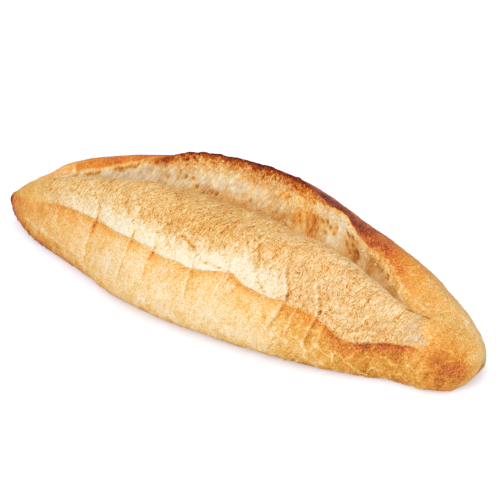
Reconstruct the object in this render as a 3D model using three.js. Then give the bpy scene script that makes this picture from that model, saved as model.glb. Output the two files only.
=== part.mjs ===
// A long white bread loaf with one lengthwise slash, baked on a flat floor.
//
// The loaf is one solid. Its section is a closed chain of arcs: the front crust, the bloom (the pale
// dough that swelled out of the slash), the torn crumb wall of the slash, the ear with the back crust,
// and the flat base. The section is carried along X, and its key points follow lengthwise curves worked
// out from the sizes below. Millimetres, +Z up. X runs along the loaf, with the blunt end at +X, and
// the bloom faces -Y. The origin is the middle of the base.
import * as THREE from "three";

// Overall sizes.
const LENGTH = 320;
const HALF_LENGTH = LENGTH / 2;
const FRONT_REACH = 49; // from the line between the two tips to the front
const BACK_REACH = 60;
const BASE_SHARE = 0.8; // the flat base takes up this share of both reaches
const TIP_LINE_Y = -4.79; // puts the origin midway between front and back
const POINTED_TIP_HEIGHT = 12;
const BLUNT_TIP_HEIGHT = 15;

// How a width or a height dies away towards an end: it loses `loss` of itself as the `power` of the
// distance from the middle, and a round nose closes it, the blunter the larger `nose` is.
const POINTED_WIDTH = { loss: 0.78, power: 1.27, nose: 10 };
const BLUNT_WIDTH = { loss: 0.655, power: 2.1, nose: 12 };
const POINTED_HEIGHT = { loss: 0.74, power: 2.15, nose: 9 };
const BLUNT_HEIGHT = { loss: 0.79, power: 1.8, nose: 10 };
const KEEL_FLAT = 0.6; // the base is flat over this share of the length, then rounds up to the tips
const POINTED_KEEL_NOSE = 3.5;
const BLUNT_KEEL_NOSE = 14;

// Heights at the middle of the loaf, before the ends bring them down.
const BLOOM_EDGE_HEIGHT = 40; // where the front crust stops and the bloom begins
const BLOOM_EDGE_SHARE = 0.837; // its place across, as a share of the front reach
const BLOOM_EDGE_RISE = 11; // higher towards the pointed end
const BLOOM_EDGE_FALL = 12; // lower towards the blunt end
const BLOOM_EDGE_FADE = 0.5; // share of the half length over which those die away
const BLOOM_EDGE_LEAN = 0.6; // the front slopes back this much for each millimetre up
const BLOOM_STEP = 1.2; // the bloom stands this proud of the crust
const BLOOM_STEP_RISE = 0.4; // and its step climbs by this share of that
const BLOOM_START = -132;
const BLOOM_END = 138;
const BLOOM_FADE = 14; // the step dies away over this length at each end
const SEAM_STEP = 0.4; // what is left of the step beyond the bloom
const CREST_HEIGHT = 65.5;
const CREST_Y = -18;
const CROWN_HEIGHT = 68.5; // the top of the back crust
const CROWN_SHARE = 0.42; // its place across, as a share of the back reach
const CROWN_BEHIND_LIP = 0.12; // it stays at least this share of the back reach behind the lip
const CROWN_ABOVE_LIP = 9; // and at most this far above it
const CROWN_ROUNDING = 3; // where the slash is shut, the top rises this much between crest and crown

// The slash and its ear.
const SLASH_START = -0.846 * HALF_LENGTH;
const SLASH_END = 0.771 * HALF_LENGTH;
const SLASH_FULLEST = 0.537; // share of its length where it gapes most
const SLASH_GAPE_POWER = 0.6;
const LIP_POWER = 0.73;
const LIP_HEIGHT = 74.5;
const LIP_Y = 26;
const LIP_END_HEIGHT = 56.4;
const LIP_START_Y = -4.7;
const LIP_END_Y = -15.5;
const TROUGH_FORWARD = 15; // the trough's bottom lies this far in front of the lip
const TROUGH_DEPTH = 28;
const SHUT_TROUGH = 0.6; // where the slash closes, the trough's place from the crest to the lip
const HEAL_LENGTH = 20; // past its ends the slash's line sinks into the plain top over this length
const HEALED_TROUGH = 0.35; // where that leaves the trough, from the crest to the crown
const HEALED_LIP = 0.6; // and the lip

// How far the arcs bow out at their ends. Foot, waist and lean are shares of the front or back reach,
// and so are the ear's and the back's crown sizes. The waist's rise is a share of the crust's height.
// The rest is in millimetres at the middle of the loaf.
const FRONT_BOW = { foot: 1.16, footRise: 1, waist: 1.12, waistRise: 0.64 };
const BLOOM_FRONT_BOW = { lean: 0.157, rise: 13, crestRun: 15 };
const BLOOM_BACK_BOW = { crestRun: 17.3, troughRun: 9, troughRise: 12 };
const WALL_BOW = { footRun: 7, footDrop: 2, lipRun: 3, lipDrop: 14 };
const EAR_BOW = { lipShare: 0.4, crownRun: 0.1, crownRise: 0.03 };
const BACK_BOW = { crownRun: 0.34, crownDrop: 0.1, foot: 1.3, footRise: 8 };

// Hand-shaped unevenness: each lump is [place along X, reach, amount].
const FRONT_LUMPS = [[-46, 30, 4.5], [108, 32, -3], [147, 19, 5]];
const BLOOM_EDGE_LUMPS = [
  [-122, 10, -1.7], [-72, 18, 2], [-8, 13, -1.8], [22, 11, 3.2], [98, 14, -8], [134, 10, 6],
];
const CREST_LUMPS = [[-52, 14, 1.8], [8, 16, -1.8], [72, 22, 4], [114, 14, -3]];
const LIP_LUMPS = [[-84, 18, -2.6], [-34, 12, 1], [-4, 10, -1.2], [28, 9, 2], [47, 10, -2]];
const LIP_SETBACKS = [[95, 12, 6]];
const WALL_POCKETS = [[-40, 16, 2], [10, 14, 4], [31, 5, -5], [50, 11, 4], [74, 8, 3]];

// Fineness of the faceted solid.
const RING_COUNT = 82;
const END_CROWDING = 0.5; // how much closer together the rings stand near the tips
const STEPS = { front: 9, ledge: 1, bloomFront: 7, bloomBack: 7, wall: 7, ear: 4, back: 8, base: 4 };

const { clamp, lerp, smoothstep } = THREE.MathUtils;
const point = (y, z) => new THREE.Vector2(y, z);
const between = (a, b, share) => a.clone().lerp(b, share);
const offset = (from, y, z) => from.clone().add(point(y, z));
const bezier = (...points) => new THREE.CubicBezierCurve(...points);

const roundNose = (share, nose) => Math.sqrt(Math.max(1 - Math.abs(share) ** nose, 0));
const bell = (x, place, reach) => Math.exp(-(((x - place) / reach) ** 2));
const lumps = (x, list) =>
  list.reduce((sum, [place, reach, amount]) => sum + amount * bell(x, place, reach), 0);

// 1 between start and end, with a soft fade inside each of them.
const span = (x, start, end, fade) =>
  smoothstep(x, start, start + fade) * (1 - smoothstep(x, end - fade, end));

// 1 at the middle of the loaf, dying away to 0 at the tips.
function dieAway(share, pointed, blunt) {
  const end = share < 0 ? pointed : blunt;
  const out = Math.min(Math.abs(share), 1);
  return (1 - end.loss * out ** end.power) * roundNose(out, end.nose);
}

// How far along the slash a place is, how far it has healed past the slash's ends, and how wide it
// gapes there, each from 0 to 1.
function slashAt(x) {
  const along = clamp((x - SLASH_START) / (SLASH_END - SLASH_START), 0, 1);
  const phase =
    along < SLASH_FULLEST
      ? (0.5 * along) / SLASH_FULLEST
      : 0.5 + (0.5 * (along - SLASH_FULLEST)) / (1 - SLASH_FULLEST);
  const past = Math.max(SLASH_START - x, x - SLASH_END, 0);
  const healed = smoothstep(past, 0, HEAL_LENGTH);
  return { along, healed, arch: Math.max(Math.sin(Math.PI * phase), 0) };
}

// The lengthwise curves at one place: how much of the reaches and heights is left there.
function fullness(x) {
  const share = x / HALF_LENGTH;
  const wide = dieAway(share, POINTED_WIDTH, BLUNT_WIDTH);
  const tall = dieAway(share, POINTED_HEIGHT, BLUNT_HEIGHT);
  const keelNose = share < 0 ? POINTED_KEEL_NOSE : BLUNT_KEEL_NOSE;
  const keel = roundNose(Math.max(Math.abs(share) - KEEL_FLAT, 0) / (1 - KEEL_FLAT), keelNose);
  const tipHeight = lerp(POINTED_TIP_HEIGHT, BLUNT_TIP_HEIGHT, (share + 1) / 2);
  const front = FRONT_REACH * wide + lumps(x, FRONT_LUMPS) * roundNose(share, BLUNT_WIDTH.nose);
  const back = BACK_REACH * wide;
  const height = (z) => tipHeight + (z - tipHeight) * tall;
  return { share, wide, tall, keel, front, back, height, baseZ: tipHeight * (1 - keel) };
}

// The bloom's edge: where the front crust stops.
function bloomEdge(x, { share, wide, front, height }) {
  const wave = lumps(x, BLOOM_EDGE_LUMPS);
  const rise = BLOOM_EDGE_RISE * bell(share, -1, BLOOM_EDGE_FADE);
  const fall = BLOOM_EDGE_FALL * bell(share, 1, BLOOM_EDGE_FADE);
  const across = -BLOOM_EDGE_SHARE * front + BLOOM_EDGE_LEAN * wave * wide;
  return point(across, height(BLOOM_EDGE_HEIGHT + rise - fall + wave));
}

// The key points of the top: the bloom's crest, the slash's trough and lip, and the back's crown.
function topPoints(x, { wide, tall, back, height }) {
  const { along, healed, arch } = slashAt(x);
  const gape = arch ** SLASH_GAPE_POWER;
  const ear = arch ** LIP_POWER;
  const crest = point(CREST_Y * wide, height(CREST_HEIGHT + lumps(x, CREST_LUMPS)));
  const lipY = (lerp(lerp(LIP_START_Y, LIP_END_Y, along), LIP_Y, ear) + lumps(x, LIP_SETBACKS)) * wide;
  const lipZ = height(lerp(LIP_END_HEIGHT, LIP_HEIGHT, ear) + lumps(x, LIP_LUMPS));
  const crown = point(
    Math.max(CROWN_SHARE * back, lipY + CROWN_BEHIND_LIP * back),
    Math.min(height(CROWN_HEIGHT), lipZ + CROWN_ABOVE_LIP * tall),
  );
  const plainTop = (share) => offset(between(crest, crown, share), 0, CROWN_ROUNDING * tall);
  const lip = between(point(lipY, lipZ), plainTop(HEALED_LIP), healed);
  const shutTrough = between(between(crest, lip, SHUT_TROUGH), plainTop(HEALED_TROUGH), healed);
  const openTrough = offset(lip, -TROUGH_FORWARD * tall, -TROUGH_DEPTH * tall);
  return { gape, crest, lip, crown, trough: between(shutTrough, openTrough, gape) };
}

// An arc whose handles are straight thirds where the slash is shut, and the given offsets where it gapes.
function slashArc(from, fromOffset, to, toOffset, gape) {
  const third = to.clone().sub(from).divideScalar(3);
  const fromHandle = from.clone().add(between(third, fromOffset, gape));
  const toHandle = to.clone().add(between(third.negate(), toOffset, gape));
  return bezier(from, fromHandle, toHandle, to);
}

// The section's arcs in order, each with its number of steps, from the front of the base over the loaf
// and back along the base.
function sectionArcs(x) {
  const full = fullness(x);
  const { wide, tall, keel, front, back, baseZ } = full;
  const edge = bloomEdge(x, full);
  const { gape, crest, trough, lip, crown } = topPoints(x, full);
  const pocket = lumps(x, WALL_POCKETS) * gape;
  const step = SEAM_STEP + (BLOOM_STEP - SEAM_STEP) * span(x, BLOOM_START, BLOOM_END, BLOOM_FADE);
  const bloomStart = offset(edge, -step * wide, BLOOM_STEP_RISE * step * tall);
  const baseFront = point(-BASE_SHARE * front, baseZ);
  const baseBack = point(BASE_SHARE * back, baseZ);
  const frontCrust = bezier(
    baseFront,
    point(-FRONT_BOW.foot * front, baseZ + FRONT_BOW.footRise * keel),
    point(-FRONT_BOW.waist * front, lerp(baseZ, edge.y, FRONT_BOW.waistRise)),
    edge,
  );
  const bloomFront = bezier(
    bloomStart,
    offset(bloomStart, BLOOM_FRONT_BOW.lean * front, BLOOM_FRONT_BOW.rise * tall),
    offset(crest, -BLOOM_FRONT_BOW.crestRun * wide, 0),
    crest,
  );
  const bloomBack = slashArc(
    crest,
    point(BLOOM_BACK_BOW.crestRun * wide, 0),
    trough,
    point(-BLOOM_BACK_BOW.troughRun * wide, BLOOM_BACK_BOW.troughRise * tall),
    gape,
  );
  const wall = slashArc(
    trough,
    point((pocket + WALL_BOW.footRun) * wide, -WALL_BOW.footDrop * tall),
    lip,
    point((pocket - WALL_BOW.lipRun) * wide, -WALL_BOW.lipDrop * tall),
    gape,
  );
  const ear = bezier(
    lip,
    between(lip, crown, EAR_BOW.lipShare),
    offset(crown, -EAR_BOW.crownRun * back, EAR_BOW.crownRise * back),
    crown,
  );
  const backCrust = bezier(
    crown,
    offset(crown, BACK_BOW.crownRun * back, -BACK_BOW.crownDrop * back),
    point(BACK_BOW.foot * back, baseZ + BACK_BOW.footRise * keel),
    baseBack,
  );
  return [
    [frontCrust, STEPS.front],
    [new THREE.LineCurve(edge, bloomStart), STEPS.ledge],
    [bloomFront, STEPS.bloomFront],
    [bloomBack, STEPS.bloomBack],
    [wall, STEPS.wall],
    [ear, STEPS.ear],
    [backCrust, STEPS.back],
    [new THREE.LineCurve(baseBack, baseFront), STEPS.base],
  ];
}

function sectionRing(x) {
  return sectionArcs(x).flatMap(([arc, steps]) =>
    Array.from({ length: steps }, (_, i) => {
      const { x: y, y: z } = arc.getPoint(i / steps);
      return new THREE.Vector3(x, TIP_LINE_Y + y, z);
    }),
  );
}

// Rings of equal count, skinned into a closed body with a fan of triangles at each tip.
function skin(rings, startTip, endTip) {
  const count = rings[0].length;
  const vertices = [startTip, ...rings.flat(), endTip];
  const last = vertices.length - 1;
  const at = (ring, i) => 1 + ring * count + (i % count);
  const triangles = [];
  for (let i = 0; i < count; i++) {
    triangles.push(0, at(0, i), at(0, i + 1));
    for (let ring = 0; ring + 1 < rings.length; ring++) {
      const [a, b] = [at(ring, i), at(ring, i + 1)];
      const [c, d] = [at(ring + 1, i), at(ring + 1, i + 1)];
      triangles.push(a, c, b, b, c, d);
    }
    triangles.push(last, at(rings.length - 1, i + 1), at(rings.length - 1, i));
  }
  const geometry = new THREE.BufferGeometry().setFromPoints(vertices);
  geometry.setIndex(triangles);
  geometry.computeVertexNormals();
  return geometry;
}

// Rings stand closer together near the tips, where the section changes fastest.
function ringPlaces() {
  return Array.from({ length: RING_COUNT }, (_, i) => {
    const even = -1 + (2 * (i + 1)) / (RING_COUNT + 1);
    return HALF_LENGTH * lerp(even, Math.sin((Math.PI / 2) * even), END_CROWDING);
  });
}

function makeLoaf() {
  const geometry = skin(
    ringPlaces().map(sectionRing),
    new THREE.Vector3(-HALF_LENGTH, TIP_LINE_Y, POINTED_TIP_HEIGHT),
    new THREE.Vector3(HALF_LENGTH, TIP_LINE_Y, BLUNT_TIP_HEIGHT),
  );
  const crust = new THREE.MeshStandardMaterial({ color: 0xdfae6a, roughness: 0.75, metalness: 0 });
  const loaf = new THREE.Mesh(geometry, crust);
  loaf.name = "loaf";
  return loaf;
}

const part = new THREE.Group();
part.add(makeLoaf());

export default part;
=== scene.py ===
"""A long white bread loaf with one lengthwise slash, dressed for a studio picture.

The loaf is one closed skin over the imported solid: smooth crust in front and behind, the pale bloom that
swelled out of the slash, the torn crumb wall, and the ear with its toasted lip. Sizes are in millimetres
and are turned into metres where the skin becomes a mesh. X runs along the loaf, with the blunt end at +X,
the bloom faces -Y, and the origin is the middle of the base.
"""

from __future__ import annotations

import logging
import math
from collections.abc import Sequence
from dataclasses import dataclass, field
from enum import Enum, IntEnum

import bpy
import numpy as np
from mathutils import Matrix, Vector


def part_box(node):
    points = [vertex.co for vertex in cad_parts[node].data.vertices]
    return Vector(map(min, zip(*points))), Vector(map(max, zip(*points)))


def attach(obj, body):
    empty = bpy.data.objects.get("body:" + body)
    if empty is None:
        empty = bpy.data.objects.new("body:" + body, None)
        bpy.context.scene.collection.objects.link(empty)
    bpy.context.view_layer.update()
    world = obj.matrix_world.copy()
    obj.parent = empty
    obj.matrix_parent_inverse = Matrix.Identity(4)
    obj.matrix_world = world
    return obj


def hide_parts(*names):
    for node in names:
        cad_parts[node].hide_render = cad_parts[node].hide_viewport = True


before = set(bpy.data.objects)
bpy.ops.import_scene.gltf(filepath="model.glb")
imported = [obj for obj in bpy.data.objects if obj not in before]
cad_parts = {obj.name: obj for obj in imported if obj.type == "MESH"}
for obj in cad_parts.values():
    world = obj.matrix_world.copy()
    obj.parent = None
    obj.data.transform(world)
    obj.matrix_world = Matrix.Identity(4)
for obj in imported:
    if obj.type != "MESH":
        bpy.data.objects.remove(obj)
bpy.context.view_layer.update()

LOG = logging.getLogger("loaf")
Array = np.ndarray
Pair = tuple[float, float]
Triple = tuple[float, float, float]
Profile = tuple[Pair, ...]
# Metres in a millimetre, and millimetres in one unit of the unrolled sheet.
MM = 0.001
SHEET_UNIT = 100.0
# Keeps vectors of no length from dividing by 0.
TINY = 1e-9
# Large numbers that mix the bits of a cell's coordinates.
HASH_SEED, HASH_SALT = 7919, 104729
HASH_FACTORS = (0x9E3779B1, 0x2C1B3C6D, 0x297A2D39)
HASH_SHIFTS = (15, 12, 15)
# Brings gradient noise to about -1 to 1.
WAVE_GAIN = 1.6
# Farther off than the nearest dot can be, in cells.
FAR_CELLS = 9.0


def lerp(a: Array, b: Array, share: Array) -> Array:
    """The value a share of the way from a to b."""
    return a + (b - a) * share


def smooth(low: float, high: float, x: Array) -> Array:
    """0 below low, 1 above high, and a soft S between them."""
    t = np.clip((x - low) / (high - low), 0.0, 1.0)
    return t * t * (3 - 2 * t)


def bell(x: Array, place: float, reach: float) -> Array:
    """1 at the place, dying away on both sides as a Gauss curve."""
    return np.exp(-(((x - place) / reach) ** 2))


def span(x: Array, start: float, end: float, fade: float) -> Array:
    """1 between start and end, with a soft fade inside each of them."""
    return smooth(start, start + fade, x) * (1 - smooth(end - fade, end, x))


def round_nose(share: Array, nose: float) -> Array:
    """1 at the middle, closing to 0 at share 1 in a round nose, the blunter the larger nose is."""
    return np.sqrt(np.maximum(1 - np.abs(share) ** nose, 0.0))


def unit(vectors: Array) -> Array:
    """Vectors of length 1 with the same directions."""
    return vectors / np.maximum(np.linalg.norm(vectors, axis=-1, keepdims=True), TINY)


def along(profile: Profile, x: Array) -> Array:
    """The profile's value at x, straight between its (place, value) points."""
    places, values = zip(*profile)
    return np.interp(x, places, values)


@dataclass(frozen=True)
class Noise:
    """Seeded random patterns over points of two or three coordinates."""

    seed: int

    def draw(self, cell: Array, salt: int) -> Array:
        """A random number from 0 to 1 for each whole-number cell, by mixing the bits of its coordinates.

        Args:
            cell: whole numbers, one cell for each row of the last axis.
            salt: picks one of several numbers for the same cell.

        Returns:
            One number for each cell.
        """
        mixed = np.full(cell.shape[:-1], self.seed * HASH_SEED + salt * HASH_SALT + 1, np.uint32)
        first, second, third = (np.uint32(factor) for factor in HASH_FACTORS)
        for axis in range(cell.shape[-1]):
            mixed ^= cell[..., axis].astype(np.int64).astype(np.uint32) * first
            for shift, factor in zip(HASH_SHIFTS, (second, third, np.uint32(1))):
                mixed ^= mixed >> np.uint32(shift)
                mixed *= factor
        return mixed / np.float64(2**32)

    def wave(self, points: Array) -> Array:
        """Gradient noise of about -1 to 1 with features one unit apart.

        Each lattice corner has a random slope. A point adds up the slopes of the corners round it,
        each weighted by a fade that is flat at the corner.

        Args:
            points: coordinates along the last axis.

        Returns:
            One value for each point.
        """
        cell = np.floor(points)
        inside = points - cell
        fade = inside**3 * (inside * (inside * 6 - 15) + 10)
        total = np.zeros(points.shape[:-1])
        axes = points.shape[-1]
        for corner in range(2**axes):
            bits = np.array([(corner >> axis) & 1 for axis in range(axes)])
            weight = np.prod(np.where(bits, fade, 1 - fade), axis=-1)
            slopes = [2 * self.draw(cell + bits, axis) - 1 for axis in range(axes)]
            total += weight * sum(slopes[axis] * (inside[..., axis] - bits[axis]) for axis in range(axes))
        return WAVE_GAIN * total

    def cloud(self, points: Array, octaves: int) -> Array:
        """Waves added up, each half as long and half as strong as the last."""
        return sum(0.5**k * self.wave(points * 2.0**k) for k in range(octaves))

    def cells(self, points: Array) -> tuple[Array, Array, Array]:
        """Distances to the nearest and the next of random dots, one dot in each unit square.

        Args:
            points: two coordinates along the last axis.

        Returns:
            The two distances, and a random number that belongs to the nearest dot.
        """
        home = np.floor(points)
        nearest = np.full(points.shape[:-1], FAR_CELLS)
        second = nearest.copy()
        chance = np.zeros(points.shape[:-1])
        for shift in ((i, j) for i in (-1, 0, 1) for j in (-1, 0, 1)):
            cell = home + np.array(shift)
            dot = cell + np.stack([self.draw(cell, 1), self.draw(cell, 2)], -1)
            gap = np.linalg.norm(points - dot, axis=-1)
            closer = gap < nearest
            second = np.where(closer, nearest, np.minimum(second, gap))
            chance = np.where(closer, self.draw(cell, 3), chance)
            nearest = np.minimum(nearest, gap)
        return nearest, second, chance


@dataclass(frozen=True)
class Fade:
    """A soft step: still 0 at low, and 1 from high on."""

    low: float
    high: float

    def at(self, x: Array) -> Array:
        """The share that is reached."""
        return smooth(self.low, self.high, x)


@dataclass(frozen=True)
class Pattern:
    """Cloudy noise: waves of a size, or of one for each coordinate, in octaves that each halve it."""

    seed: int
    size: float | Pair
    octaves: int = 1
    amount: float = 1.0

    def at(self, *places: Array) -> Array:
        """The value at points, or at places given by one array for each coordinate."""
        points = places[0] if len(places) == 1 else np.stack(places, -1)
        return self.amount * Noise(self.seed).cloud(points / np.array(self.size), self.octaves)

    def line(self, x: Array) -> Array:
        """The value along a line through the middle of the pattern's first cells."""
        return self.at(x, np.full_like(x, 0.5))


@dataclass(frozen=True)
class Net:
    """Random cells of one size, or of one for each coordinate, bent by a pattern along each of them."""

    seed: int
    size: float | Pair
    warps: tuple[Pattern, ...] = ()

    def at(self, points: Array) -> tuple[Array, Array, Array]:
        """Distances to the nearest and the next dot, in cells, and the nearest one's random number."""
        bent = points + np.stack([warp.at(points) for warp in self.warps], -1) if self.warps else points
        return Noise(self.seed).cells(bent / np.array(self.size))


class Zone(IntEnum):
    """The arcs of the loaf's section, in order from the front of the base over the top."""

    FRONT = 0
    LEDGE = 1
    BLOOM = 2
    SLOPE = 3
    WALL = 4
    EAR = 5
    BACK = 6
    BASE = 7


BLOOM_ZONES = (Zone.LEDGE, Zone.BLOOM, Zone.SLOPE)


class Slot(IntEnum):
    """The loaf's material slots."""

    CRUST = 0
    BLOOM = 1
    CRUMB = 2

    @classmethod
    def of(cls, zone: int) -> Slot:
        """The slot of a zone's finish."""
        torn = cls.CRUMB if zone == Zone.WALL else cls.CRUST
        return cls.BLOOM if zone in BLOOM_ZONES else torn


class Run(Enum):
    """Which way a drawn line runs on the skin."""

    ACROSS = "across the loaf, up and down its side"
    LENGTHWISE = "along the loaf"


@dataclass(frozen=True)
class Taper:
    """How a width or a height dies away towards one end: the share lost there, how late, and its nose."""

    loss: float
    power: float
    nose: float

    def left(self, out: Array) -> Array:
        """What is left at a distance from the middle, given as a share of the half length."""
        return (1 - self.loss * out**self.power) * round_nose(out, self.nose)


@dataclass(frozen=True)
class Lump:
    """A swelling about one place, or a hollow where its amount is negative."""

    place: float
    reach: float
    amount: float

    def at(self, x: Array) -> Array:
        """Its height at x."""
        return self.amount * bell(x, self.place, self.reach)


Lumps = tuple[Lump, ...]


def lumps(x: Array, items: Lumps) -> Array:
    """All lumps added up at x."""
    return sum(item.at(x) for item in items)


@dataclass(frozen=True)
class Spot:
    """A round place on the skin where the crust browned more and may swell out."""

    place: Triple
    reach: float
    amount: float
    swell: float = 0.0

    def at(self, points: Array) -> Array:
        """The browning that it adds at each point."""
        gap = np.linalg.norm(points - np.array(self.place), axis=-1)
        return self.amount * bell(gap, 0.0, self.reach)


@dataclass(frozen=True)
class Hole:
    """A bubble torn open in the crumb wall, below the lip, with its edge in shares of its reach."""

    place: float
    below: float
    reach: float
    depth: float
    length: float = 1 / 0.9
    edge: Pair = (0.35, 1.25)

    def at(self, x: Array, lip: Array) -> Array:
        """1 in the middle of the hole, 0 outside it."""
        gap = np.hypot(x - self.place, (lip + self.below) / self.length)
        return 1 - smooth(*(share * self.reach for share in self.edge), gap)


@dataclass(frozen=True)
class Crack:
    """A hairline split in the skin through a few (x, height above the bloom's edge) points.

    The skin before it stands a step prouder and is pale beside it, and a browner plate begins behind it.
    Width is half the split's own, fade is how long its ends are, and wobble how far it strays.
    """

    points: Profile
    run: Run = Run.ACROSS
    depth: float = 0.3
    width: float = 0.75
    step: float = 0.0
    fade: float = 4.0
    # Painted shade in the split, and paler skin before it that is partly painted highlight.
    dark: float = 0.08
    pale: float = 0.08
    plate: float = 0.0
    wobble: float = 0.7
    unrest: Pattern = Pattern(61, (4.0, 1.0), 2)
    step_reach: float = 8.0
    plate_reach: float = 9.0
    beside: float = 1.6

    def course(self, x: Array, up: Array) -> tuple[Array, Array]:
        """Signed distance from the split, and 1 along its length fading to 0 past its ends.

        Args:
            x: place along the loaf.
            up: height above the bloom's edge along the skin.

        Returns:
            The distance across the split, and the share of it that is there.
        """
        drive, follow = (up, x) if self.run is Run.ACROSS else (x, up)
        course = np.array(self.points)
        course = course[:, ::-1] if self.run is Run.ACROSS else course
        course = course[np.argsort(course[:, 0])]
        unrest = self.unrest.at(drive, np.full_like(drive, course[0, 1]))
        gap = follow - np.interp(drive, course[:, 0], course[:, 1]) - self.wobble * unrest
        there = span(drive, course[0, 0] - self.fade, course[-1, 0] + self.fade, self.fade)
        return gap, there

    def relief(self, x: Array, up: Array) -> Array:
        """The groove, and the step between the skins on its two sides, which dies away from it.

        Args:
            x: place along the loaf.
            up: height above the bloom's edge along the skin.

        Returns:
            Millimetres over the smooth form.
        """
        gap, there = self.course(x, up)
        plate = (0.5 - smooth(-self.width, self.width, gap)) * np.exp(-np.abs(gap) / self.step_reach)
        return there * (2 * self.step * plate - self.depth * bell(gap, 0, self.width))

    def tint(self, x: Array, up: Array) -> Array:
        """Browning along the split: painted shade in it, paler before it with some painted highlight, and a
        browner plate behind it.

        Args:
            x: place along the loaf.
            up: height above the bloom's edge along the skin.

        Returns:
            The browning that it adds.
        """
        gap, there = self.course(x, up)
        beside = bell(gap, -self.beside * self.width, self.width)
        plate = smooth(0, 2 * self.width, gap) * np.exp(-np.maximum(gap, 0) / self.plate_reach)
        return there * (self.dark * bell(gap, 0, self.width) - self.pale * beside + self.plate * plate)


@dataclass
class Skin:
    """The loaf's smooth skin as whole arrays, one line for each ring along X and one row round it.

    Distances run along the skin: up above the bloom's edge, lip behind the lip, and rim above the base.
    Sheet is the skin unrolled, with the ring's end repeated, and gape tells from 0 to 1 how wide the slash
    stands open at each ring.
    """

    points: Array
    normals: Array
    zones: Array
    up: Array
    lip: Array
    rim: Array
    sheet: Array
    gape: Array

    @property
    def x(self) -> Array:
        """Places along the loaf."""
        return self.points[..., 0]

    @property
    def flat(self) -> Array:
        """The unrolled skin, one place for each point."""
        return self.sheet[:, :-1]

    def is_in(self, *zones: Zone) -> Array:
        """1 on the rows of these zones, 0 elsewhere."""
        return np.isin(self.zones, zones).astype(float)[None, :]


@dataclass(frozen=True)
class Bows:
    """How far the section's arcs bow out at their ends.

    Foot, waist, lean, ear and back crown sizes are shares of the front or back reach, the waist's rise is
    a share of the crust's height, and the rest is in millimetres at the middle of the loaf.
    """

    front_foot: float = 1.16
    front_foot_rise: float = 1.0
    front_waist: float = 1.12
    front_waist_rise: float = 0.64
    bloom_lean: float = 0.157
    bloom_rise: float = 13.0
    bloom_crest_run: float = 15.0
    slope_crest_run: float = 17.3
    slope_trough_run: float = 9.0
    slope_trough_rise: float = 12.0
    wall_foot_run: float = 7.0
    wall_foot_drop: float = 2.0
    wall_lip_run: float = 3.0
    wall_lip_drop: float = 14.0
    ear_lip_share: float = 0.4
    ear_crown_run: float = 0.1
    ear_crown_rise: float = 0.03
    back_crown_run: float = 0.34
    back_crown_drop: float = 0.1
    back_foot: float = 1.3
    back_foot_rise: float = 8.0


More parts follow.
